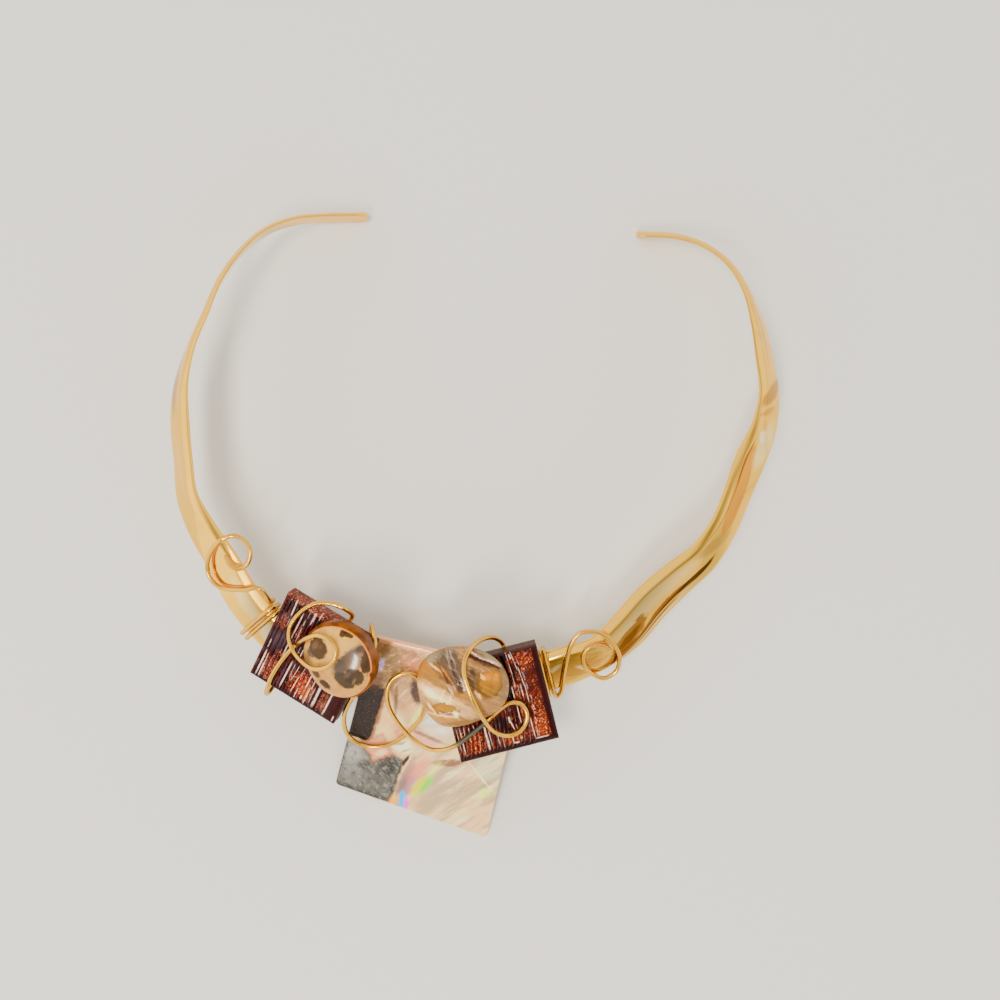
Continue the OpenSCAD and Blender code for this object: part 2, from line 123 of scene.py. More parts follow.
class Wiring:
    # a node tree and the few ways in which this script adds nodes to it
    def __init__(self, tree):
        self.tree = tree

    def feed(self, socket, value):
        if isinstance(value, Signal):
            self.tree.links.new(value.socket, socket)
        else:
            socket.default_value = value

    def add(self, kind, settings, sockets, give=0):
        # one node of this kind: its settings first, then the values or links of its sockets
        node = self.tree.nodes.new(kind)
        for key, value in settings.items():
            setattr(node, key, value)
        for key, value in sockets.items():
            self.feed(node.inputs[key], value)
        return Signal(self, node.outputs[give])

    def vector(self, operation, sockets, give=0):
        return self.add("ShaderNodeVectorMath", {"operation": operation}, sockets, give)

    def mapped(self, at, scale, turn, place=(0, 0, 0)):
        # coordinates less a place, turned back by so many degrees, then divided by the scale of each axis
        return self.add("ShaderNodeMapping", {"vector_type": "TEXTURE"}, {
            "Vector": at, "Location": place, "Rotation": (0, 0, math.radians(turn)), "Scale": scale})

    def noise(self, at, size, detail=2.0, rough=0.5, give=0):
        return self.add("ShaderNodeTexNoise", {},
                        {"Vector": at, "Scale": 1 / size, "Detail": detail, "Roughness": rough}, give)

    def streaky(self, at, scale, turn=0.0, detail=3, rough=0.6):
        # noise drawn out to the scale of each axis, along a direction in degrees
        return self.noise(self.mapped(at, scale, turn), 1.0, detail, rough)

    def warped(self, at, size, reach):
        # coordinates pushed about by noise, up to half the reach either way
        push = self.vector("SUBTRACT", {0: self.noise(at, size, 3, 0.6, "Color"), 1: (0.5, 0.5, 0.5)})
        return self.vector("ADD", {0: at, 1: self.vector("SCALE", {0: push, "Scale": reach})})

    def cells(self, at, size):
        # cells of about this size, each of one random colour
        return self.add("ShaderNodeTexVoronoi", {}, {"Vector": at, "Scale": 1 / size}, "Color")

    def step(self, value, low, high):
        # 0 up to low, 1 from high on, and a soft S between them; noise lies about 0.5
        return self.add("ShaderNodeMapRange", {"interpolation_type": "SMOOTHSTEP"},
                        {"Value": value, "From Min": low, "From Max": high})

    def mix(self, share, first, second):
        # sockets 6 and 7 and output 2 are the colours of the node
        return self.add("ShaderNodeMix", {"data_type": "RGBA"}, {0: share, 6: first, 7: second}, 2)

    def part(self, vector, axis):
        return self.add("ShaderNodeSeparateXYZ", {}, {0: vector}, axis)

    def size(self, value):
        return self.add("ShaderNodeMath", {"operation": "ABSOLUTE"}, {0: value})

    def oval(self, at, spot, ragged):
        # soft oval or block with rounded corners: its share inside, 0 outside, its edge made ragged
        scale = (spot["long"], spot["wide"], spotDepth)
        turned = self.mapped(at, scale, spot["turn"], (spot["x"], spot["y"], 0))
        if spot.get("blocky"):
            away = self.add("ShaderNodeMath", {"operation": "SMOOTH_MAX"}, {
                0: self.size(self.part(turned, 0)), 1: self.size(self.part(turned, 1)), 2: blockCorner})
        else:
            away = self.vector("LENGTH", {0: turned}, "Value")
        return self.step(away + ragged * spot["ragged"], 1 + spot["soft"], 1 - spot["soft"]) * spot["share"]

    def painted(self, ground, at, spots, ragged):
        # ovals laid over the ground colour one after another
        for spot in spots:
            ground = self.mix(self.oval(at, spot, ragged), ground, spot["colour"])
        return ground

    def washed(self, colour, washes):
        # screen colours laid over a colour one after another, each by its share
        for share, shown in washes:
            colour = self.mix(share, colour, tint(*shown))
        return colour

    def brighter(self, colour, gain):
        # colour for a piece that leans away from the light, kept short of white
        raised = self.vector("SCALE", {0: colour, "Scale": gain})
        return self.vector("MINIMUM", {0: raised, 1: (toneLook["palest"],) * 3})

    def bump(self, height, depth):
        return self.add("ShaderNodeBump", {}, {"Height": height, "Distance": depth})


class Finish(Wiring):
    # a material on one of the pieces, with the place on the piece that its mesh carries in mm
    def __init__(self, name):
        self.material = bpy.data.materials.new(name)
        self.material.use_nodes = True
        super().__init__(self.material.node_tree)
        self.surface = self.tree.nodes["Principled BSDF"]
        self.flat = self.carried("flat")

    def carried(self, name):
        return self.add("ShaderNodeAttribute", {"attribute_name": name}, {}, "Vector")

    def shade(self, **sockets):
        # coatWeight stands for the socket Coat Weight, and so on
        for key, value in sockets.items():
            name = "".join(" " + c if c.isupper() else c for c in key).title().replace("Ior", "IOR")
            self.feed(self.surface.inputs[name], value)


spotColumns = ("x", "y", "long", "wide", "turn", "soft", "ragged", "share", "colour", "blocky")


def spotList(rows, paint=tint):
    # rows of a table with its columns named and its screen colours turned into paint
    spots = [dict(zip(spotColumns, row)) for row in rows]
    for spot in spots:
        if "colour" in spot:
            spot["colour"] = paint(*spot["colour"])
    return spots


mergeReach = 2e-7                         # m: points closer to each other than this become one


def joined(name, spots, carried, sharp, around=False, lids=False):
    # grid of points (rows, columns, xyz) in mm made a mesh that carries named vectors: neighbours share a
    # four-sided face, around joins the last column to the first, and lids closes the first and last row
    rows, columns = spots.shape[:2]
    ring = np.arange(rows * columns).reshape(rows, columns)
    index = np.hstack([ring, ring[:, :1]]) if around else ring
    faces = np.stack([index[:-1, :-1], index[:-1, 1:], index[1:, 1:], index[1:, :-1]], -1)
    faces = faces.reshape(-1, 4).tolist()
    if lids:
        faces += [ring[0][::-1].tolist(), ring[-1].tolist()]
    mesh = bpy.data.meshes.new(name)
    mesh.from_pydata((spots.reshape(-1, 3) / mmPerMetre).tolist(), [], faces)
    for key, vectors in carried.items():
        kept = mesh.attributes.new(key, "FLOAT_VECTOR", "POINT")
        kept.data.foreach_set("vector", vectors.reshape(-1).astype(np.float32))
    work = bmesh.new()
    work.from_mesh(mesh)
    bmesh.ops.remove_doubles(work, verts=work.verts, dist=mergeReach)
    bmesh.ops.dissolve_degenerate(work, edges=work.edges, dist=mergeReach)
    bmesh.ops.recalc_face_normals(work, faces=work.faces)
    work.to_mesh(mesh)
    work.free()
    mesh.shade_smooth()
    mesh.set_sharp_from_angle(angle=math.radians(sharp))
    return mesh


def setDown(name, mesh, finish, node):
    # the mesh made a piece of the scene, in place of one node of the CAD model
    piece = bpy.data.objects.new(name, mesh)
    scene.collection.objects.link(piece)
    mesh.materials.append(finish.material)
    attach(piece, "root")
    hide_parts(node)
    print(name, "made,", len(mesh.polygons), "faces")


def turnedBy(degrees, axis):
    # matrix of a turn about the z or the x axis
    c, s = math.cos(math.radians(degrees)), math.sin(math.radians(degrees))
    return np.array([[c, -s, 0], [s, c, 0], [0, 0, 1]] if axis == "z" else [[1, 0, 0], [0, c, -s], [0, s, c]])


def laid(place, spots):
    # points drawn on the level, turned in their plane, sloped, turned uphill and set at the place's x, y, z
    turn = turnedBy(place[3], "z") @ turnedBy(place[4], "x") @ turnedBy(place[5], "z")
    return spots @ turn.T + np.array(place[:3]) - middle


swellLook = {"count": 7, "spread": (0.7, 1.5)}   # how many waves, and their lengths as shares of the mean one


def swell(x, y, meanLength, seed):
    # gentle unevenness between -1 and 1: the mean of sine waves in random directions
    draw = np.random.default_rng(seed)
    total = 0
    for _ in range(swellLook["count"]):
        way, phase = draw.uniform(0, fullTurn), draw.uniform(0, fullTurn)
        length = meanLength * draw.uniform(*swellLook["spread"])
        total = total + np.sin(fullTurn / length * (x * np.cos(way) + y * np.sin(way)) + phase)
    return total / swellLook["count"]


def hollowed(x, y, meanLength, seed):
    # the same unevenness between 0 and 1
    return 0.5 + 0.5 * swell(x, y, meanLength, seed)


def between(a, b, c, d, t):
    # smooth cubic from b to c while t goes from 0 to 1, headed at each end from one neighbour to the other
    square, cube = 2 * a - 5 * b + 4 * c - d, 3 * b - a - 3 * c + d
    return b + (c - a) * t / 2 + square * t ** 2 / 2 + cube * t ** 3 / 2


def smoothRows(rows, steps):
    # smooth curve through the rows of a table, whatever its columns are, with so many steps between two rows
    held = np.vstack([rows[:1], rows, rows[-1:]])
    t = (np.arange(steps) / steps)[None, :, None]
    curve = between(*(held[k:len(held) - 3 + k, None] for k in range(4)), t)
    return np.vstack([curve.reshape(-1, rows.shape[1]), rows[-1:]])


def unit(vectors):
    # vectors divided by their own lengths
    return vectors / np.linalg.norm(vectors, axis=-1, keepdims=True)


def headings(line):
    # direction of travel at each point of a line, from the points on either side
    held = np.vstack([line[:1], line, line[-1:]])
    return unit(held[2:] - held[:-2])


def travelled(line):
    # length of a line up to each of its points
    return np.cumsum(np.r_[0, np.linalg.norm(np.diff(line, axis=0), axis=1)])


def endsRepeated(count, times):
    # numbers of a line's points, with the first and the last one so many times more
    return np.clip(np.arange(-times, count + times), 0, count - 1)


lightLook = {
    "floor": (226, 224, 219), "floorRough": 0.9,
    "floorHalf": 3, "floorDrop": 0.00005,                       # m
    "sky": (240, 236, 228), "skyStrength": 0.34, "leastStrength": 0.03,
    "ringStrength": 1.35, "ringTop": 0.85, "ringFull": 0.45,    # from these heights down, where 1 is overhead
    "panels": [                           # azimuth, elevation, inner and outer reach in degrees, share added
        (172, 22, 24, 60, 0.8),
        (-146, 20, 12, 34, 0.4),
        (-112, 38, 11, 24, -0.6),
        (-38, 8, 7, 17, -0.45),
        (20, 30, 20, 50, 0.4),
        (0, 90, 14, 40, 1.5),
    ],
    "lamps": [                            # name, place and size in m, watts, colour, mirrored in gloss
        ("high", (-0.30, -0.06, 1.10), (0.30, 0.30), 8.0, (255, 243, 226), False),
        ("front", (-0.24, -0.50, 0.83), (0.10, 0.34), 5.0, (255, 250, 242), True),
    ],
}
floorHalf = lightLook["floorHalf"]
floorMesh = bpy.data.meshes.new("floor")
floorMesh.from_pydata([(-floorHalf, -floorHalf, 0), (floorHalf, -floorHalf, 0), (floorHalf, floorHalf, 0),
                       (-floorHalf, floorHalf, 0)], [], [(0, 1, 2, 3)])
floor = bpy.data.objects.new("floor", floorMesh)
scene.collection.objects.link(floor)
floorFinish = bpy.data.materials.new("paleFloor")
floorFinish.use_nodes = True
floorShade = floorFinish.node_tree.nodes["Principled BSDF"]
floorShade.inputs["Base Color"].default_value = plain(*lightLook["floor"])
floorShade.inputs["Roughness"].default_value = lightLook["floorRough"]
floorMesh.materials.append(floorFinish)
floor.location.z = -lightLook["floorDrop"]

sky = bpy.data.worlds.new("softSky")
sky.use_nodes = True
scene.world = sky
skyWiring = Wiring(sky.node_tree)
skyWay = skyWiring.add("ShaderNodeTexCoord", {}, {}, "Generated")


def skyPanel(azimuth, elevation, inner, outer):
    # 1 within the inner reach of a direction, 0 past the outer one
    a, e = math.radians(azimuth), math.radians(elevation)
    towards = (math.cos(a) * math.cos(e), math.sin(a) * math.cos(e), math.sin(e))
    lined = skyWiring.vector("DOT_PRODUCT", {0: skyWay, 1: towards}, "Value")
    return skyWiring.step(lined, math.cos(math.radians(outer)), math.cos(math.radians(inner)))


skyGlow = skyWiring.step(skyWiring.part(skyWay, 2), lightLook["ringTop"], lightLook["ringFull"])
skyGlow = skyGlow * lightLook["ringStrength"] + lightLook["skyStrength"]
for *panelReach, panelShare in lightLook["panels"]:
    skyGlow = skyGlow + skyPanel(*panelReach) * panelShare
skyShade = sky.node_tree.nodes["Background"]
skyShade.inputs["Color"].default_value = plain(*lightLook["sky"])
skyWiring.feed(skyShade.inputs["Strength"], skyWiring.add(
    "ShaderNodeMath", {"operation": "MAXIMUM"}, {0: skyGlow, 1: lightLook["leastStrength"]}))

for lampName, lampPlace, lampSize, lampWatts, lampColour, lampMirrored in lightLook["lamps"]:
    lamp = bpy.data.lights.new(lampName, "AREA")
    lamp.shape, lamp.size, lamp.size_y, lamp.energy = "RECTANGLE", *lampSize, lampWatts
    lamp.color = plain(*lampColour)[:3]
    lampObject = bpy.data.objects.new(lampName, lamp)
    lampObject.location = lampPlace
    lampObject.visible_glossy = lampMirrored
    lampObject.rotation_mode = "QUATERNION"
    lampObject.rotation_quaternion = (-lampObject.location).to_track_quat("-Z", "Y")
    scene.collection.objects.link(lampObject)
print("camera, floor and light set")


# collar band

bandLook = {
    "thick": 1.4, "edge": 0.55, "edgePoints": 7, "facePoints": 15,   # section: rounded edges and flat faces
    "tip": 2.2, "tipSteps": 6, "steps": 12,                          # rounded ends; rings per station
    "ripple": 0.10, "rippleLength": 15, "rippleSqueeze": 1.5, "rippleSeed": 4, "rippleFade": 4,   # hollows
    "crown": 0.26,                                                   # fall of the outer face at its edges
    "bevel": 1.8, "bevelShare": 0.55, "bevelPower": 1.2,             # thinning at the top edge: width, share
    "gold": plain(255, 198, 66), "deep": plain(246, 182, 50), "tarnishAndShade": plain(160, 116, 40),
    "lined": 0.35, "polish": 0.07, "scratch": 0.10, "tarnish": 0.12, "oneFace": True, "spotRough": 0.0,
    # a duller stretch of the bevel by the left curl
    "satin": spotList([(112, 4.0, 11, 1.6, 0, 0.4, 0.2, 1.0)])[0], "satinRough": 0.35,
    # painted reflections: dark brown mottles for the dark room and table mirrored in the band, pale streaks
    # and patches for mirrored lamps; along and across the strip in mm, from its left end and its middle line
    "spots": spotList([
        (58, -1.6, 9, 1.7, 0, 0.4, 0.4, 0.85, (176, 122, 44)),
        (76, -0.4, 4.5, 0.22, 14, 0.5, 0.5, 0.4, (255, 222, 140)),
        (81, 0.2, 5, 0.22, 12, 0.5, 0.5, 0.4, (255, 222, 140)),
        (112, 0.4, 6, 1.5, -6, 0.5, 0.6, 0.6, (255, 226, 156)),
        (122, -0.8, 6, 2, -10, 0.5, 0.7, 0.75, (255, 236, 184)),
        (190, -0.6, 8, 2.6, 0, 0.4, 1.4, 0.8, (186, 124, 40)),
        (187, 0.6, 1.5, 0.5, 20, 0.5, 1, 0.8, (255, 226, 150)),
        (193, -1.4, 1.8, 0.5, -30, 0.5, 1, 0.8, (255, 220, 140)),
        (213, 1, 12, 1.6, 0, 0.5, 0.3, 0.55, (255, 222, 146)),
        (204.5, -1.2, 6, 1.5, 8, 0.15, 0.9, 0.92, (160, 104, 36)),
        (204, -1.4, 3.6, 0.8, 8, 0.3, 1, 0.8, (112, 66, 24)),
        (203, -3.2, 8, 0.8, 0, 0.3, 0.5, 0.9, (128, 70, 24)),
        (214, -2.5, 8, 0.9, 5, 0.2, 0.6, 0.92, (140, 80, 26)),
        (224, -1.9, 5.6, 0.6, 5, 0.2, 0.5, 0.95, (66, 40, 20)),
        (216, -2.3, 6, 0.16, 6, 0.4, 0.4, 0.85, (60, 34, 16)),
        (212, -3, 9, 0.13, 3, 0.5, 0.4, 0.8, (255, 214, 130)),
        (231, 0.5, 5, 1.3, -20, 0.4, 0.6, 0.7, (200, 150, 60)),
        (222, -3.8, 26, 0.22, 0, 0.5, 0.3, 0.8, (255, 220, 140)),
        (244, 0.7, 10.2, 1.9, 3, 0.08, 0.15, 0.95, (226, 150, 34)),
        (249.5, 2, 6, 0.22, 0, 0.4, 0.3, 0.9, (124, 72, 24)),
        (238, 2.2, 9, 0.2, -3, 0.4, 0.3, 0.6, (156, 96, 32)),
        (255, -1.4, 5, 2, 0, 0.4, 0.5, 0.65, (255, 230, 156)),
        (256.5, 0.4, 1.4, 0.9, 20, 0.3, 1.2, 0.8, (255, 240, 190)),
        (266, 0, 1.5, 4.6, 38, 0.3, 0.5, 0.8, (176, 122, 40)),
        (262, 0.8, 0.7, 2.4, 30, 0.3, 0.5, 0.6, (186, 132, 46)),
        (280, 0.6, 7, 0.28, 4, 0.4, 0.4, 0.75, (190, 126, 52)),
        (287, -0.9, 7, 0.28, -3, 0.4, 0.4, 0.65, (196, 130, 56)),
    ], plain),
    # x, y, z, width, lean of the top edge inwards in degrees, as in the solid
    "rows": np.array([
        [-26.5, 70.6, 2.92, 5.8, 0], [-33, 70.1, 4.4, 6, 1], [-39.8, 68.8, 6.8, 6.3, 4],
        [-46, 65.6, 9.4, 6.6, 10], [-51, 60.2, 11.8, 6.8, 15], [-54.8, 53.6, 13.8, 7, 17],
        [-57.6, 46.4, 15.2, 7.2, 22], [-60.5, 39, 15.9, 7.4, 25], [-62.5, 31, 16, 7.7, 34],
        [-62.8, 23, 15.8, 7.8, 42], [-62.2, 15, 15.5, 7.9, 41], [-61.4, 7, 15.1, 8.2, 45],
        [-58.4, 0.1, 14.6, 8.5, 54], [-54.2, -7, 13.7, 8.8, 60], [-50, -15.1, 12.3, 9, 66],
        [-44.4, -22.2, 10.4, 9.2, 69], [-37.6, -28, 9, 9.2, 70], [-29.4, -32.2, 7.8, 9.2, 71],
        [-20.4, -35, 7.7, 9.2, 71], [-11, -36.4, 8.2, 9.2, 71], [-2, -36.2, 9, 9.2, 71],
        [6.2, -34.6, 10.1, 9.2, 71], [13.6, -31.9, 11.3, 9.2, 71], [20.5, -29.5, 12.3, 9.2, 70],
        [27.2, -26.8, 13.1, 8.4, 67], [32.9, -22, 13.8, 9.5, 69], [38.3, -15.7, 14.4, 9.4, 69],
        [43.9, -10.5, 14.9, 9, 65], [49.4, -5.8, 15.3, 8.7, 58], [53.6, 0.4, 15.5, 8.6, 52],
        [56.5, 7.5, 15.7, 8.5, 52], [59.2, 14.6, 15.7, 8.4, 58], [62.1, 21.4, 15.7, 8.2, 50],
        [63.4, 29, 15.5, 8, 41], [62.6, 37, 14.7, 7.7, 38], [61.6, 44.6, 13.3, 7.4, 33],
        [59.6, 51.9, 11.6, 7, 23], [56.2, 58.3, 9.4, 6.7, 19], [51.2, 63, 7, 6.4, 17],
        [44.9, 65.7, 4.7, 6.1, 16], [38.7, 66.5, 2.92, 5.8, 14]]),
}


def bandAxes(rows, ways):
    # for each station, the direction up its leaning face and the one square to that face, outwards
    level = unit(ways * [1, 1, 0])
    out = np.stack([level[:, 1], -level[:, 0], 0 * level[:, 0]], -1)
    lean = np.radians(rows[:, 4:5])
    rise = np.array([[0, 0, 1]])
    return rise * np.cos(lean) - out * np.sin(lean), out * np.cos(lean) + rise * np.sin(lean)


def bandSection(width, look):
    # rounded rectangle with points spread over its two faces: columns across and over, one row per station
    thick, edge = look["thick"], look["edge"]
    turns = np.radians(np.linspace(0, 90, look["edgePoints"]))
    across, over = [], []
    for side, rise, start in ((1, 1, 0), (-1, 1, 90), (-1, -1, 180), (1, -1, 270)):
        a = turns + np.radians(start)
        across.append(side * (width / 2 - edge) + edge * np.cos(a))
        over.append(rise * (thick / 2 - edge) + edge * np.sin(a) + 0 * width)
        if start in (0, 180):             # points along the face between two rounded edges
            run = np.linspace(1, -1, look["facePoints"])[1:-1] * side
            across.append(run * (width / 2 - edge))
            over.append(0 * width + rise * thick / 2 + 0 * run)
    return np.hstack(across), np.hstack(over)


def bandMesh(look):
    # the strip's section carried along its stations; the free ends shrink round a quarter turn, hollows sink
    # into both faces, and the outer face falls off towards its edges, most at the top
    rows = smoothRows(look["rows"], look["steps"])
    ways = headings(rows[:, :3])
    tip, thick = look["tip"], look["thick"]
    turns = np.radians(np.linspace(15, 90, look["tipSteps"]))
    still, drawnIn = np.zeros(len(rows)), tip * (1 - np.cos(turns))
    shift = np.hstack([-tip * np.sin(turns[::-1]), still, tip * np.sin(turns)])[:, None]
    inset = np.hstack([drawnIn[::-1], still, drawnIn])[:, None]
    pick = endsRepeated(len(rows), len(turns))
    rows, ways = rows[pick], ways[pick]
    up, face = bandAxes(rows, ways)
    across, over = bandSection(rows[:, 3:4] - 2 * inset, look)
    along = travelled(rows[:, :3])[:, None] + shift
    share = across / (rows[:, 3:4] / 2)
    hollow = hollowed(along, across * look["rippleSqueeze"], look["rippleLength"], look["rippleSeed"])
    flatness = np.clip(1 - np.abs(share) ** look["rippleFade"], 0, 1)
    over = over - np.sign(over) * look["ripple"] * hollow * flatness - look["crown"] * share ** 2 * (over > 0)
    nearTop = np.clip((across - rows[:, 3:4] / 2) / look["bevel"] + 1, 0, 1) ** look["bevelPower"]
    over = (over + thick / 2) * (1 - look["bevelShare"] * nearTop) - thick / 2
    line = rows[:, :3] + ways * shift
    spots = line[:, None] + across[..., None] * up[:, None] + over[..., None] * face[:, None]
    flat = np.stack([along + 0 * across, across, over], -1)
    return joined("polishedBand", spots - middle, {"flat": flat}, around=True, lids=True, sharp=50)


brassLook = {
    "cloud": 5.0, "speck": 0.35, "ragged": (2.2, 0.7, 0.7),                 # noise sizes in mm
    "drawn": (14.0, 0.35, 0.35), "hair": (4.0, 0.10, 0.10),                 # scratches drawn out lengthwise
    "cloudRough": 0.05, "hairRough": 0.06, "darkRough": 0.15,               # roughness that each of them adds
    "bump": 0.00002,                                                        # m
}


def brassFinish(name, look):
    # drawn or polished brass: long faint scratches, cloudy polish, patches of tarnish, painted shade on the
    # wires' sides, painted light on their undersides, and spots of painted reflection and painted shade
    finish = Finish(name)
    flat = finish.flat
    cloud = finish.noise(flat, brassLook["cloud"], 3)
    fine = finish.streaky(flat, brassLook["drawn"])
    hair = finish.streaky(flat, brassLook["hair"], detail=2)
    speck = finish.noise(flat, brassLook["speck"], 3, 0.7)
    ragged = finish.streaky(flat, brassLook["ragged"], detail=4, rough=0.65) - 0.5
    dark = finish.step(cloud + (speck - 0.5) * 0.35, 0.56, 0.74) * look["tarnish"]
    colour = finish.mix(finish.step(fine, 0.35, 0.75) * look["lined"], look["gold"], look["deep"])
    colour = finish.mix(dark, colour, look["tarnishAndShade"])
    if "below" in look:                   # height of the surface's direction: 1 faces up, -1 down
        facing = finish.part(finish.add("ShaderNodeNewGeometry", {}, {}, "Normal"), 2)
        # painted shade: sides and lower faces darkened towards the tarnish colour
        colour = finish.mix(finish.step(facing, 0.75, 0.30) * look["flankShade"], colour, look["tarnishAndShade"])
        # painted light: faces turned down made paler
        colour = finish.mix(finish.step(facing, -0.1, -0.6) * look["belowShare"], colour, look["below"])
    outer = finish.step(finish.part(flat, 2), 0.0, 0.25)
    dull = finish.oval(flat, look["satin"], ragged) * look["satinRough"] if "satin" in look else 0
    # spots on the band are painted reflections, the spot on the scroll is painted shade; each is laid over
    # the colour
    for spot in look["spots"]:
        shown = finish.oval(flat, spot, ragged) * (outer if look["oneFace"] else 1)
        colour = finish.mix(shown, colour, spot["colour"])
        dull = shown * look["spotRough"] + dull
    roughness = look["polish"] + finish.step(cloud, 0.35, 0.7) * brassLook["cloudRough"]
    roughness = roughness + (hair - 0.5) * brassLook["hairRough"] + dark * brassLook["darkRough"] + dull
    finish.shade(baseColor=colour, metallic=1.0, roughness=roughness,
                 normal=finish.bump(hair * look["scratch"] + fine * look["scratch"] * 2, brassLook["bump"]))
    return finish


setDown("polishedBand", bandMesh(bandLook), brassFinish("polishedBrass", bandLook), "collar_band")


# wires

wireLook = {
    "thick": 1.0, "gap": 0.36, "sides": 14, "steps": 8, "domeSteps": 4,
    "gold": plain(244, 184, 62), "deep": plain(208, 152, 46), "tarnishAndShade": plain(140, 98, 34),
    "lined": 0.45, "polish": 0.17, "scratch": 0.4, "tarnish": 0.4, "oneFace": False,
    "spots": [], "spotRough": 0.4,
    "flankShade": 0.5,                                              # share of painted shade on the sides, in the tarnish colour
    "below": plain(255, 244, 190), "belowShare": 0.85,         # painted light: paler brass facing down, offsetting the band's warm reflection
    "greyShade": spotList([(122.8, 0, 4.4, 4.0, 0, 0.35, 0.3, 0.95, (84, 90, 80))], plain),   # painted shade and dark reflection on the scroll, where the wire lies in shadow
}


def bandStation(at):
    # the band's row at a place between two stations
    rows = bandLook["rows"]
    first = int(math.floor(at))
    held = rows[np.clip([first - 1, first, first + 1, first + 2], 0, len(rows) - 1)]
    return between(*held, at - first)


def bandSpot(at, across, over):
    # place so far across the strip and over its face, beside a station; the strip's way is that between two
    # places near the station
    near = 0.05
    way = unit(bandStation(at + near)[:3] - bandStation(at - near)[:3])
    row = bandStation(at)
    up, face = bandAxes(row[None], way[None])
    return row[:3] + across * up[0] + over * face[0]


wireReach = bandLook["thick"] / 2 + wireLook["thick"] / 2 + wireLook["gap"]


def besideBand(at, across, side):
    # place for a wire beside the band's outer face, 1, or its under face, -1
    return bandSpot(at, across, side * wireReach)


def roundEdge(at, edge, turn):
    # place for a wire that turns round the band's top edge, 1, or its lower edge, -1
    a = math.radians(turn)
    half = (bandStation(at)[3] - bandLook["thick"]) / 2
    return bandSpot(at, edge * (half + wireReach * math.cos(a)), wireReach * math.sin(a))


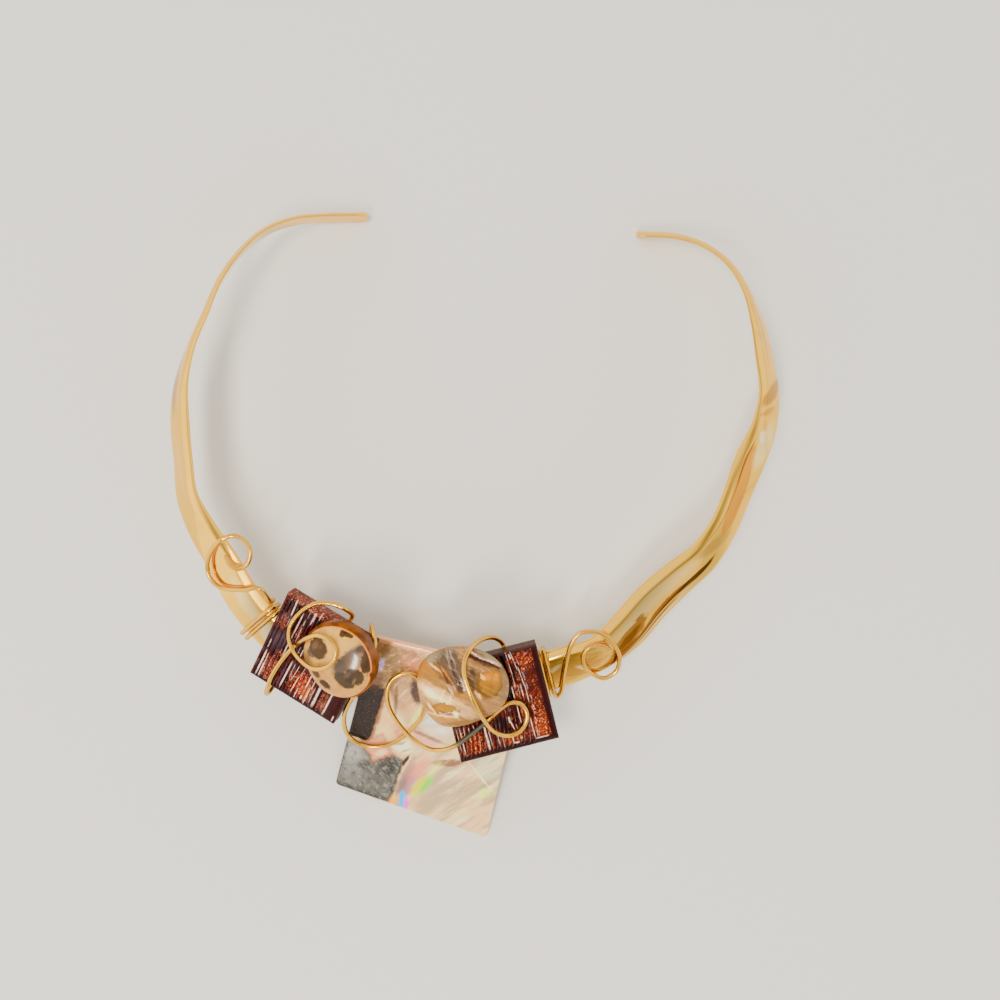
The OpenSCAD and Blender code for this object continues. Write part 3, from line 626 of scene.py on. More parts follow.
# the wires' middle lines, in mm, as in the solids
wirePaths = {
    "leftWrap": [
        (-52.6, -5.7, 16.5), (-51.8, -7.4, 16.4), (-49.9, -8.3, 16.5), (-47.9, -7, 17),
        (-47.2, -4.4, 17.6), (-48.5, -2.1, 17.8), (-50.8, -1.2, 17.8), (-53.4, -2.1, 17.7),
        (-56, -4.5, 15.7), (-57.4, -7.6, 13.9), (-56.9, -10.7, 12.9), (-54.4, -12.6, 13.2),
        (-49.2, -12.9, 15), (-46.6, -12.4, 15.8), (-45.2, -12.9, 15.7),
        roundEdge(14.43, 1, 10), roundEdge(14.46, 1, -70), roundEdge(14.56, -1, -75),
        roundEdge(14.59, -1, 0), roundEdge(14.6, -1, 70), besideBand(14.6, 0, 1),
        roundEdge(14.61, 1, 65), roundEdge(14.63, 1, 0), roundEdge(14.65, 1, -70),
        roundEdge(14.71, -1, -75), roundEdge(14.74, -1, 0), roundEdge(14.75, -1, 70),
        besideBand(14.76, 0, 1), roundEdge(14.78, 1, 65), roundEdge(14.8, 1, 0),
        roundEdge(14.84, 1, -70), besideBand(14.9, 0, -1)],
    "beadCurl": [
        besideBand(16.4, 0, -1), roundEdge(16.45, 1, -75), roundEdge(16.47, 1, -35), roundEdge(16.48, 1, 5),
        (-30.2, -23.9, 12), (-27.6, -20.7, 14.6), (-25.6, -18.2, 17.4), (-26.3, -16.6, 20.4),
        (-28.1, -15.6, 21), (-30.1, -15.1, 21), (-32.7, -15.2, 20.7), (-35.3, -16.5, 20.1),
        (-37.3, -18.4, 19.4), (-38.5, -20.5, 18.9), (-38.6, -23, 19.1), (-37.5, -25.4, 19.8),
        (-35.4, -27.1, 21.9), (-33.1, -28.1, 23.9), (-30.9, -28.1, 25), (-28.7, -27, 26),
        (-27.6, -24.6, 26.7), (-28.6, -22.3, 26.6), (-31.4, -21.2, 25.4), (-33.8, -21.9, 23.8),
        (-35.5, -22.9, 21.6), (-37.3, -24.2, 18.6), (-38.8, -25.5, 17.4), (-41.2, -28.3, 16.2),
        (-43.2, -31.3, 15), (-44.3, -33.8, 14), (-45.2, -35.5, 11.8), (-45.2, -36, 9.2),
        (-43.9, -33.7, 7.9), roundEdge(15.75, -1, -60), besideBand(15.85, -1.5, -1)],
    "frontScroll": [
        besideBand(17.6, -1, -1), besideBand(17.6, 3, -1), (-23, -26.2, 8.9),
        (-22.5, -23.3, 11), (-21.9, -21, 14.5), (-21.4, -20, 18.4), (-20.6, -21.5, 21.3),
        (-20.2, -24.2, 22.3), (-21.6, -27.8, 20.6), (-23.7, -31.8, 18.2), (-25.9, -35.9, 15.8),
        (-27.7, -39.2, 13.4), (-28.4, -42.3, 10.8), (-27.9, -45.5, 8.4), (-25.7, -47.8, 6.9),
        (-22.4, -48.5, 6.6), (-19, -47.9, 7.2), (-16, -46.2, 8.2), (-13.2, -43.5, 9.4),
        (-11.4, -40.8, 10.6), (-10.8, -37.8, 11.7), (-11.2, -34.3, 12.6), (-12.6, -31.5, 13.6),
        (-15.2, -31, 13.9), (-17.6, -32.4, 13.6), (-18.7, -35.1, 13.3), (-18.2, -38.6, 13.2),
        (-16.1, -42.1, 13.3), (-13.3, -44.9, 13.9), (-9.7, -46.7, 15.6), (-6.4, -46.4, 17.9),
        (-3.5, -45.1, 19.3), (-0.6, -42.9, 19.6), (2.3, -40.5, 19.7), (4.9, -38.1, 20),
        (7.6, -36.1, 20.2), (10.1, -36.3, 20), (11.4, -38.7, 19.6), (10.5, -41.5, 19.3),
        (8.2, -42.9, 19.6), (5.9, -42.5, 20.8), (4, -41, 22.8), (2.7, -38.9, 25.2),
        (1.4, -36.5, 27), (-0.1, -33.1, 28.1), (-1.4, -29.2, 28.5), (-1.5, -26.2, 28.3),
        (-0.4, -23.8, 27.2), (1.6, -22.3, 24.8), (3.8, -22.1, 21.9), (5.7, -23.3, 18.6),
        (6.6, -25.5, 15.2), (5.9, -27.8, 12.9), roundEdge(21.03, 1, 0), roundEdge(21, 1, -75),
        besideBand(21, 0, -1)],
    "rightWrap": [
        besideBand(22.08, 0, -1), roundEdge(22.24, 1, -75), roundEdge(22.26, 1, 0),
        roundEdge(22.25, 1, 70), besideBand(22.2, 0, 1), roundEdge(22.16, -1, 70),
        roundEdge(22.16, -1, 0), roundEdge(22.2, -1, -75), roundEdge(22.42, 1, -75),
        roundEdge(22.45, 1, 0), (15, -26, 15), (15.8, -29.1, 13.9), (16.7, -32.8, 12.6),
        (17.5, -35.6, 11.4), (18.3, -36.5, 10.6), (19.1, -35, 11.6), (19.5, -31.5, 13),
        (20.1, -27.7, 14.6), (20.9, -24.3, 15.9), (22.5, -22.1, 16.7), (24.6, -21.6, 16.8),
        (27, -22, 16.4), (29.2, -23.5, 15.7), (30.8, -25.6, 14.7), (31.5, -27.9, 13.7),
        (30.9, -30.7, 12.5), (28.5, -32.3, 12.1), (26.1, -31.5, 12.7), (24.2, -29.8, 13.8),
        (23.5, -27.7, 14.7), (24.1, -25.7, 15.5), (25.8, -24.7, 15.8), (27.7, -24.8, 15.4),
        (29.1, -25.6, 14.9)],
}


def wireMesh(name, path, look):
    # a circle carried along the path without twist, drawn in to a dome at both ends
    line = smoothRows(np.array([tuple(spot) for spot in path], float), look["steps"])
    ways = headings(line)
    sides = np.zeros_like(line)
    start = np.cross(ways[0], [0, 0, 1] if abs(ways[0][2]) < 0.8 else [1, 0, 0])
    for ring, way in enumerate(ways):     # each ring's side is the one before, squared to the new way
        start = unit(start - way * (start @ way))
        sides[ring] = start
    radius = look["thick"] / 2
    turns = np.radians(np.linspace(80, 20, look["domeSteps"]))
    shift = np.hstack([-radius * np.sin(turns), np.zeros(len(line)), radius * np.sin(turns[::-1])])
    reach = np.hstack([radius * np.cos(turns), np.full(len(line), radius), radius * np.cos(turns[::-1])])
    pick = endsRepeated(len(line), len(turns))
    line, ways, sides = line[pick], ways[pick], sides[pick]
    around = np.linspace(0, fullTurn, look["sides"], endpoint=False)
    across = np.cross(ways, sides)
    spots = (line + ways * shift[:, None])[:, None] + reach[:, None, None] * (
        np.cos(around)[None, :, None] * sides[:, None] + np.sin(around)[None, :, None] * across[:, None])
    along = travelled(line)[:, None]
    flat = np.stack(np.broadcast_arrays(along, radius * np.cos(around), radius * np.sin(around)), -1)
    return joined(name, spots - middle, {"flat": flat}, around=True, lids=True, sharp=60)


wireFinish = brassFinish("wireBrass", wireLook)
# the scroll's finish carries the painted shade of its grey stretch
scrollFinish = brassFinish("scrollBrass", {**wireLook, "spots": wireLook["greyShade"]})
for wireName, wireNode, wireShade in (
        ("leftWrap", "wire_left_wrap", wireFinish), ("beadCurl", "wire_cabochon_curl", wireFinish),
        ("frontScroll", "wire_front_scroll", scrollFinish), ("rightWrap", "wire_right_wrap", wireFinish)):
    setDown(wireName, wireMesh(wireName, wirePaths[wireName], wireLook), wireShade, wireNode)


# shell plate

plateThick, plateSlope = 1.5, 19          # mm, and degrees up towards the band
plateLook = {
    "place": (-31.9, -58.4, plateThick * math.cos(math.radians(plateSlope)), -19.6, plateSlope, 0),
    "corners": np.array([[0, 0], [36.6, 0], [31.2, 42.9], [-2.1, 38.9]]),
    "thick": plateThick, "round": 1.0, "edge": 0.3, "wave": 0.07, "waveLength": 16, "waveSeed": 9,
    "sidePoints": 44, "cornerPoints": 8, "rings": 56, "edgeRings": 13,
    "layerLean": 58, "lineLean": 64, "scratchLean": -38,                    # degrees
    "gain": 1.22, "metallic": 0.10, "roughness": 0.20, "specular": 0.12, "coat": 0.5, "coatRoughness": 0.08,
    "bump": 0.00008,
    "ground": [tint(204, 188, 160), tint(224, 210, 184)],
    "cornerGrey": {"x": 6.1, "y": 6.2, "long": 6.9, "wide": 6.2, "turn": 0, "soft": 0.12, "ragged": 0.3,
                   "share": 1.0, "blocky": True},
    "spots": spotList([
        # right half: smooth beige, pinkish near the lower right corner, pale triangle above the thin line,
        # and a brown wedge that is a painted shadow of the tile's corner
        (22.5, 7.5, 4.6, 6.4, -30, 0.5, 0.5, 0.75, (198, 184, 158)),
        (32.5, 4, 3.4, 5, -20, 0.6, 0.5, 0.55, (226, 206, 178)),
        (31, 18.5, 2.6, 4.2, 24, 0.3, 0.3, 0.7, (206, 206, 188)),
        (30.6, 14.6, 4.2, 0.26, -34, 0.4, 0.3, 0.95, (255, 242, 222)),
        # painted shadow of the tile's corner
        (22.4, 15.4, 3.4, 0.9, 24, 0.3, 0.6, 0.85, (170, 112, 84)),
        # pinkish tan at the top left with its mottled glitter, peach in the middle, crossed by brownish
        # painted shadows of the wire's loop
        (4.6, 34.4, 8.4, 6, 0, 0.4, 0.5, 0.95, (192, 148, 104)),
        (3.6, 33.4, 3, 4.4, 20, 0.6, 1.6, 0.55, (172, 150, 106)),
        (8.4, 35.8, 3, 1.6, -12, 0.6, 0.9, 0.6, (220, 170, 130)),
        (1.3, 33, 0.7, 1.6, 0, 0.4, 0.6, 0.85, (196, 184, 208)),
        (5, 39.4, 12, 0.6, 5, 0.5, 0.4, 0.8, (240, 202, 172)),
        (8.4, 20.6, 5, 9, 0, 0.5, 0.8, 0.9, (224, 200, 164)),
        (6.6, 16.2, 2, 2.4, 0, 0.6, 0.9, 0.7, (240, 218, 188)),
        (8.2, 22.6, 1.6, 3, 30, 0.6, 0.9, 0.55, (240, 224, 204)),
        (9.6, 18.6, 1, 2.6, 40, 0.6, 0.9, 0.6, (206, 154, 130)),
        (8.2, 28.4, 2.8, 4.6, 12, 0.5, 0.6, 0.6, (194, 166, 130)),
        # painted shadow of the loop's left strand
        (6.9, 26, 0.45, 4.6, 14, 0.6, 0.5, 0.75, (150, 108, 86)),
        (17, 23.6, 4.4, 3, 6, 0.4, 0.9, 0.9, (232, 212, 200)),
        # painted glints
        (15.6, 24, 1.4, 0.7, 38, 0.6, 1.4, 0.85, (255, 250, 244)),
        (18.6, 22.6, 1, 0.6, -20, 0.6, 1.4, 0.7, (252, 244, 236)),
        # painted shadow of the loop's lower strand
        (16, 20, 4.6, 0.5, -4, 0.5, 0.6, 0.8, (176, 132, 112)),
        (16.6, 18.6, 3.4, 0.8, -4, 0.6, 0.8, 0.6, (238, 190, 178)),
        # dark slate field on the left, its brown edge, painted shade by its top, and the black line under it,
        # a painted shadow of the wire
        (1.4, 21, 3.4, 7.2, 1, 0.16, 0.3, 0.9, (160, 104, 76), True),
        (1.2, 21, 2.9, 6.9, 1, 0.07, 0.2, 0.98, (60, 53, 52), True),
        # painted shade near the plate's left edge
        (1, 28.8, 2.6, 2, 0, 0.6, 0.7, 0.8, (116, 78, 62)),
        # painted shadow of the wire
        (1.8, 14.1, 3.3, 0.42, 0, 0.3, 0.3, 0.95, (24, 14, 10), True),
        # grey corner with straight sides and its peach notch, and the pinkish strip on its right
        (15, 7, 1.6, 6.4, 0, 0.3, 0.5, 0.85, (190, 154, 142)),
        (6.1, 6.2, 6.9, 6.2, 0, 0.05, 0.12, 0.98, (126, 122, 116), True),
        (10, 9, 2.4, 3.6, -20, 0.7, 0.9, 0.7, (66, 64, 62)),
        (1.8, 9.2, 2.4, 3, 30, 0.7, 1, 0.9, (184, 182, 176)),
        (2.6, 5, 2.6, 3, 0, 0.8, 1.4, 0.7, (160, 158, 152)),
        (7.4, 3.4, 4, 2, 0, 0.8, 1.4, 0.55, (128, 124, 116)),
        (4.6, 7.4, 1.6, 1.2, 0, 0.7, 1, 0.7, (70, 68, 66)),
        (6.6, 12.7, 2.9, 2.9, 45, 0.2, 0.7, 0.95, (168, 112, 82), True),
        (6.6, 13, 2.5, 2.5, 45, 0.25, 0.9, 0.95, (218, 182, 154), True),
        # painted highlight on the notch
        (7.6, 12, 0.7, 1.3, -40, 0.6, 1.2, 0.7, (246, 226, 206)),
        (6, 0.5, 7, 0.7, 0, 0.6, 0.5, 0.65, (50, 48, 46), True),
        (-0.5, 6, 0.6, 5.8, 0, 0.6, 0.5, 0.6, (52, 50, 46), True),
        (12.8, 6, 0.4, 6, 0, 0.5, 0.5, 0.6, (54, 48, 46), True),
        # silver patch, slit and the dark oval in the wire's loop
        (11.6, 15.6, 2.3, 1.8, 0, 0.4, 1.6, 0.9, (232, 220, 204)),
        (11, 16, 0.3, 1.5, -50, 0.5, 1.2, 0.7, (150, 126, 110)),
        (12.6, 14.8, 0.3, 1.3, -40, 0.5, 1.2, 0.6, (140, 118, 104)),
        (13.4, 12.2, 0.4, 1.8, -8, 0.3, 0.6, 0.95, (58, 42, 38)),
        (14, 12, 0.22, 1.7, -8, 0.5, 0.5, 0.8, (240, 214, 196)),
        (10.4, 29.6, 1.2, 3, 26, 0.3, 0.8, 0.92, (74, 60, 72)),
        # painted highlight
        (12.5, 24.2, 0.7, 3.2, -12, 0.5, 0.5, 0.85, (236, 234, 190)),
        # rainbow near the lower edge
        (14.7, 6.4, 1.2, 3, -8, 0.9, 0.6, 0.7, (154, 130, 128)),
        (16.9, 11.6, 1.3, 3.6, -12, 0.8, 0.5, 0.75, (246, 186, 164)),
        (16.4, 7.4, 0.8, 2.6, -8, 0.8, 0.5, 0.6, (208, 160, 180)),
        (20, 12, 0.7, 2.6, -14, 0.9, 0.5, 0.5, (224, 232, 166)),
        (18.2, 7.2, 1.15, 3, -18, 0.4, 0.6, 1, (255, 250, 10)),
        (19.5, 8, 0.7, 2.6, -16, 0.6, 0.6, 0.9, (160, 250, 90)),
        (14.2, 1.5, 1, 1.8, -28, 0.7, 0.5, 0.85, (242, 208, 110)),
        (15.5, 2.4, 0.75, 2.2, 10, 0.4, 0.3, 1, (104, 224, 255)),
        (16.7, 1.6, 0.5, 1.8, 14, 0.5, 0.3, 0.9, (242, 156, 234)),
        (32.4, 11.2, 1.6, 1, 40, 0.8, 0.8, 0.8, (208, 224, 146)),
    ]),
}


def roundedOutline(look):
    # corner points replaced by arcs, then more points spread evenly along the straight edges
    corners, radius = look["corners"], look["round"]
    arcs = []
    for k, corner in enumerate(corners):
        u, v = unit(corners[k - 1] - corner), unit(corners[(k + 1) % len(corners)] - corner)
        half = math.acos(u @ v) / 2
        centre = corner + unit(u + v) * radius / math.sin(half)
        start = corner + u * radius / math.tan(half) - centre
        a = math.atan2(start[1], start[0]) + (np.pi - 2 * half) * np.linspace(0, 1, look["cornerPoints"])
        arcs.append(centre + radius * np.stack([np.cos(a), np.sin(a)], -1))
    loop = []
    for arc, following in zip(arcs, arcs[1:] + arcs[:1]):
        loop += [arc, np.linspace(arc[-1], following[0], look["sidePoints"] + 2)[1:-1]]
    return np.vstack(loop)


def plateMesh(look):
    # outline drawn in towards its middle in rings, over the rounded edge and back along the underside, with
    # shallow waves on the upper face
    outline = roundedOutline(look)
    centre = look["corners"].mean(0)
    edge, thick = look["edge"], look["thick"]
    reach = edge * unit(outline - centre)
    inner = np.linspace(0.0, 1.0, look["rings"])[:-1]
    turns = np.radians(np.linspace(90, -90, look["edgeRings"]))
    drawnIn = centre + (outline - reach - centre) * inner[:, None, None]
    edgeRings = outline - reach + reach * np.cos(turns)[:, None, None]
    flatPlace = np.concatenate([drawnIn, edgeRings, drawnIn[::-1]])
    drop = np.where(turns > 0, -edge, edge - thick) + edge * np.sin(turns)
    x, y = flatPlace[..., 0], flatPlace[..., 1]
    z = np.hstack([0 * inner, drop, 0 * inner - thick])[:, None] + 0 * x
    top = np.clip((z + thick) / thick, 0, 1)
    z = z - look["wave"] * hollowed(x, y, look["waveLength"], look["waveSeed"]) * top
    flat = np.stack([x, y, z], -1)
    return joined("nacrePlate", laid(look["place"], flat), {"flat": flat}, around=True, sharp=40)


def plateFinish(look):
    # mother-of-pearl: growth layers that lean to the right, their pale streaks partly painted pearly sheen,
    # patches laid over them with a few painted shadows, highlights and glints, cloudy grey corner, fine
    # sparkle;
    # masks by place along x and y on the plate keep each to its part
    finish = Finish("nacre")
    flat = finish.flat
    x, y = finish.part(flat, 0), finish.part(flat, 1)
    pushed = finish.warped(flat, 1.8, 0.9)
    ragged = finish.noise(flat, 1.4, 4, 0.62) - 0.5
    grain = finish.noise(flat, 0.28, 3, 0.7)
    cloud = finish.noise(flat, 1.3, 5, 0.72)
    layers = finish.streaky(flat, (9.0, 1.3, 1.0), look["layerLean"], 4, 0.55)
    wide = finish.streaky(flat, (11.0, 2.6, 3.0), look["layerLean"], 3, 0.5)
    lines = finish.streaky(flat, (4.0, 0.8, 1.0), look["lineLean"])
    scratches = finish.streaky(flat, (5.0, 0.25, 1.0), look["scratchLean"])
    raggedX = x + ragged * 3
    right = finish.step(raggedX, 20, 25)
    left = finish.step(raggedX, 17, 12) * finish.step(x, 4.5, 6.5)
    corner = finish.oval(pushed, look["cornerGrey"], ragged)
    corner = corner * finish.step(y - finish.size(x - 6.6), 9.6, 8.2)
    mottled = finish.step(y, 28, 32) * finish.step(x, 10, 6)
    light = finish.step(layers, 0.52, 0.72)
    ground = finish.mix(finish.step(wide, 0.38, 0.66), *look["ground"])
    colour = finish.washed(finish.painted(ground, pushed, look["spots"], ragged), [
        # pale growth layers on the right half, partly real layers and partly painted pearly sheen
        (light * right * 0.80, (250, 240, 222)),
        (finish.step(layers, 0.48, 0.30) * right * 0.45, (170, 150, 124)),
        # pale lines in the left middle, partly real layers and partly painted pearly sheen
        (finish.step(lines, 0.52, 0.70) * left * finish.step(y, 13, 17) * 0.50, (248, 224, 204)),
        (finish.step(cloud, 0.52, 0.64) * corner * 0.55, (176, 174, 168)),
        (finish.step(cloud, 0.47, 0.36) * corner * 0.55, (60, 59, 58)),
        (finish.step(scratches, 0.56, 0.70) * corner * 0.35, (206, 204, 198)),
        (finish.step(cloud, 0.54, 0.64) * mottled * 0.45, (150, 124, 86)),
        (finish.step(cloud, 0.46, 0.38) * mottled * 0.45, (240, 220, 176)),
        (finish.step(grain, 0.60, 0.74) * 0.20, (252, 240, 222)),
    ])
    finish.shade(baseColor=finish.brighter(colour, look["gain"]), metallic=look["metallic"] + light * 0.10,
                 roughness=look["roughness"] + (grain - 0.5) * 0.15, specularIorLevel=look["specular"],
                 coatWeight=look["coat"], coatRoughness=look["coatRoughness"],
                 normal=finish.bump(layers + grain * 0.4, look["bump"]))
    return finish


setDown("nacrePlate", plateMesh(plateLook), plateFinish(plateLook), "shell_plate")


# glass tiles

tileLook = {
    "side": 21.5, "thick": 4.0, "groove": 0.50, "bevel": 0.5, "crown": 0.40,
    "lidColumns": 300, "lidRows": 110, "bevelSteps": 6, "wallSteps": 8,
    "sway": 0.14, "swayLength": 8,            # how far the ribs wander sideways
    "heights": (0.62, 1.0),                   # share of the groove's depth by which each rib rises
    "uneven": 0.35, "unevenLength": 5, "unevenPace": 3.1, "unevenShift": 0.2,   # dips along a rib
    "shoulder": 1.6,                          # bevel widths over which the ribs fade out at the border
    "toneApart": 37.0, "tonePace": 0.32,      # how unlike the ribs' tones are, and how fast each changes
    "barBlend": 0.25,                         # width over which the bar rises beside the last rib
    "dip": 0.8,                               # how far the ribs turn down at the foot and the head
    "waves": 0.04, "waveLength": 2.2,         # unevenness of the lid
    "pull": 0.10, "pullLength": 5,            # and of the walls
    "roughness": 0.32, "specular": 0.06, "coat": 0.22, "coatRoughness": 0.05, "bump": 0.00008,
    # in the tables of spots, a share below 0 is ground without flakes
    "left": {
        "place": (-34.7, -27.5, 17.2, -50, 18.5, 21),
        "bar": 3.1, "bow": 0.0, "seed": 21, "foot": 1.1, "head": 1.5,
        "ribs": np.array([0.0, 0.9, 1.7, 2.9, 3.9, 4.6, 5.4, 6.2, 7.0, 7.7, 8.4, 9.1, 9.8, 10.5, 11.4, 12.3,
                          13.0, 13.9, 15.0, 16.2, 17.2]),
        "ground": [tint(56, 6, 12), tint(106, 24, 34), tint(112, 78, 96)],
        "flakes": [tint(116, 40, 38), tint(206, 128, 104)],
        "density": 0.30, "dusky": 0.75,
        "spots": spotList([
            (0, 11.3, 12, 1.9, 0, 0.25, 0.6, 0.66, (196, 122, 94)),
            (-8.6, 4, 1.4, 2, 0, 0.6, 0.9, 0.45, (206, 118, 90)),
            (-4.8, 4.2, 0.8, 2.2, 0, 0.6, 0.9, 0.4, (206, 104, 96)),
            (-6.6, -2.6, 0.9, 1.6, 0, 0.6, 0.9, 0.45, (200, 116, 92)),
            (-7.5, -7.2, 1.8, 2.6, 0, 0.6, 0.9, 0.6, (212, 122, 96)),
            (0.7, -6.2, 1.5, 2.8, 0, 0.6, 0.9, 0.8, (232, 116, 56)),
            (-1.4, -7, 1, 2.4, 0, 0.6, 0.9, 0.55, (206, 104, 66)),
            (2.5, -7.4, 1, 2.4, 0, 0.6, 0.9, 0.8, (244, 190, 138)),
            (6.6, -6.8, 0.9, 3, 0, 0.5, 0.7, 0.6, (196, 118, 82)),
            (-8.4, 0.2, 2.2, 2.4, 0, 0.6, 0.9, -0.5, (112, 84, 98)),
            (-6.5, 7, 1.6, 3, 0, 0.6, 0.9, -0.35, (58, 24, 34)),
            (9.5, -1.5, 1.7, 12, 0, 0.06, 0.1, -1.2, (82, 8, 16), True),
            (0, -10.8, 12, 1, 0, 0.12, 0.2, -1.2, (70, 12, 20), True),
        ]),
        "streaks": [                          # painted highlights along the crests: x, top, foot, width, lean in degrees, share
            (-7.9, 10.3, 6.6, 0.24, 1, 1), (-7.8, 5.6, 3.8, 0.12, 0, 0.5), (-5.6, 8, 1, 0.22, -1, 1),
            (-5.7, 0.6, -2.6, 0.22, 0, 0.9), (-4.6, 7, 1.6, 0.16, 0, 0.8), (-4.4, 10.4, 8, 0.12, 0, 0.5),
            (-3.1, 10, 7.9, 0.36, 0, 1), (-3.2, 8.2, 7, 0.18, 0, 1), (-1.9, 10.9, 9, 0.15, 0, 0.9),
            (-9.5, -0.6, -2.6, 0.16, 0, 0.7), (-9.4, -3.8, -9.4, 0.28, -1, 1),
            (-8.7, -3.9, -6.4, 0.12, 0, 0.7), (-8.7, -6.6, -9.6, 0.26, 0, 1), (-3.3, -2.9, -9, 0.26, -2, 1),
            (-3, 1.2, -0.6, 0.16, 0, 0.8), (-2.2, 1.2, -1, 0.2, 0, 0.9), (-2.4, -3, -6.2, 0.14, 0, 0.7),
            (-1.6, -3, -6.8, 0.15, -6, 0.8), (-0.2, -2.6, -5, 0.14, -4, 0.8), (-0.6, -5, -8.9, 0.17, -4, 1),
            (0.4, -7.6, -9.8, 0.13, 0, 1), (1.9, -3.2, -6, 0.2, 0, 1), (1.8, -8.5, -9.4, 0.4, 0, 0.9),
            (3.1, -3.7, -6, 0.16, 0, 1), (2.8, -6.2, -9.8, 0.15, 0, 1), (3.8, -5.5, -9, 0.12, 0, 0.6),
            (4.8, -4.2, -9.2, 0.52, 0, 0.8), (7.7, -4.2, -9.6, 0.36, -1, 1),
            (10.1, -8.7, -9.9, 0.25, 0, 0.8), (-9, 6.5, 5, 0.1, 0, 0.4),
        ],
    },
    "right": {
        "place": (5.4, -36.6, 19.5, 21, 9.6, -7),
        "bar": 4.4, "bow": 0.012, "seed": 22, "foot": 1.5, "head": 1.0,
        "ribs": np.array([0.0, 0.8, 1.5, 2.3, 3.2, 4.0, 5.0, 6.3, 7.2, 8.0, 8.9, 9.7, 10.6, 11.4, 12.3, 13.2,
                          14.0, 14.8, 15.9]),
        "ground": [tint(72, 8, 6), tint(124, 38, 24), tint(120, 66, 54)],
        "flakes": [tint(116, 42, 24), tint(226, 140, 92)],
        "density": 0.50, "dusky": 0.35,
        "spots": spotList([
            (7.7, -0.5, 1.6, 9.6, 0, 0.2, 0.3, 0.42, (176, 80, 46)),
            (7.5, -7.2, 1.7, 2.4, 0, 0.6, 0.5, 0.4, (214, 112, 62)),
            (7.2, 9, 1.7, 1.6, 0, 0.6, 0.5, 0.35, (206, 100, 52)),
            (7.5, 3, 1.5, 2.6, 0, 0.6, 0.6, -0.45, (132, 46, 26)),
            (-6.6, -7, 1.9, 2.4, 0, 0.6, 0.9, 0.6, (214, 104, 44)),
            (1.4, -8, 2.4, 1.2, 0, 0.6, 0.9, 0.5, (226, 136, 78)),
            (4.8, 1.8, 1.2, 2.4, 0, 0.6, 0.9, 0.4, (196, 100, 76)),
            (2.9, 5, 0.7, 6, 0, 0.3, 0.4, -0.9, (36, 6, 6)),
            (-0.4, -4.4, 1, 1.8, 14, 0.4, 0.7, -0.6, (62, 12, 8)),
            (10.2, 0, 0.8, 12, 0, 0.1, 0.2, -1.2, (76, 10, 10), True),
            (0, -10.6, 12, 1.2, 0, 0.12, 0.3, -1.2, (72, 10, 8), True),
            (0, 12, 12, 1.6, 0, 0.2, 0.4, -0.9, (112, 70, 62), True),
        ]),
        # painted highlights along the crests, columns as on the left
        "streaks": [
            (5.3, 10.3, 6.4, 0.16, 9, 0.9), (6.05, 6.5, 2.6, 0.17, 5, 1), (6.35, 2.8, -1.2, 0.16, 0, 1),
            (4.15, 10.4, 6, 0.18, 3, 0.8), (4.7, 10, 9, 0.3, 10, 0.9), (4.3, 6.2, 3, 0.12, 0, 0.6),
            (3.6, 3, 0.5, 0.2, 0, 0.9), (4.9, 3, 0.8, 0.12, 0, 0.5), (5.5, 3.2, 0.4, 0.13, 0, 0.7),
            (-10, -3, -8, 0.12, 0, 0.6), (-9.3, -3.2, -8.8, 0.18, 0, 0.9), (-8.5, -3.2, -6, 0.13, -4, 0.8),
            (-6.3, -3.2, -4.4, 0.16, 0, 0.8), (-4.1, -4.2, -8.8, 0.36, 0, 1),
            (-3.4, -5.6, -8.5, 0.14, 0, 0.6), (-1.8, -5.8, -8.8, 0.15, 0, 0.8),
            (-0.9, -6.6, -9.4, 0.12, 0, 0.6), (1.4, -3.3, -4.6, 0.34, 0, 1),
            (1.8, -4.5, -6.3, 0.22, 12, 0.9), (1.2, -7.4, -9, 0.17, 0, 0.9), (1.8, -9, -9.3, 1.2, 0, 0.8),
            (3.7, -1.4, -4.9, 0.17, 0, 0.9), (3, -8.2, -8.6, 0.4, 0, 0.6), (5.8, -4.8, -8.8, 0.2, 1, 1),
            (7.4, -9.15, -9.4, 2.4, 0, 0.6), (-7.4, -3.4, -4.6, 0.12, 0, 0.6),
            (2.6, -5.2, -6.2, 0.12, 0, 0.5),
        ],
    },
}


def ribPlaces(x, y, look, tile):
    # for each point its rib's number, its share of the way across that rib, and its share across the bar
    side = look["side"]
    lean = tile["bow"] * (y + 1) ** 2
    bend = x + side / 2 + look["sway"] * swell(0.2 * x, y, look["swayLength"], tile["seed"]) + lean
    barStart = side - tile["bar"]
    starts = np.append(tile["ribs"], barStart)
    which = np.clip(np.searchsorted(starts, bend, side="right") - 1, 0, len(tile["ribs"]) - 1)
    across = np.clip((bend - starts[which]) / (starts[which + 1] - starts[which]), 0, 1)
    onBar = (bend - barStart) / (tile["bar"] + lean)
    return which, across, onBar


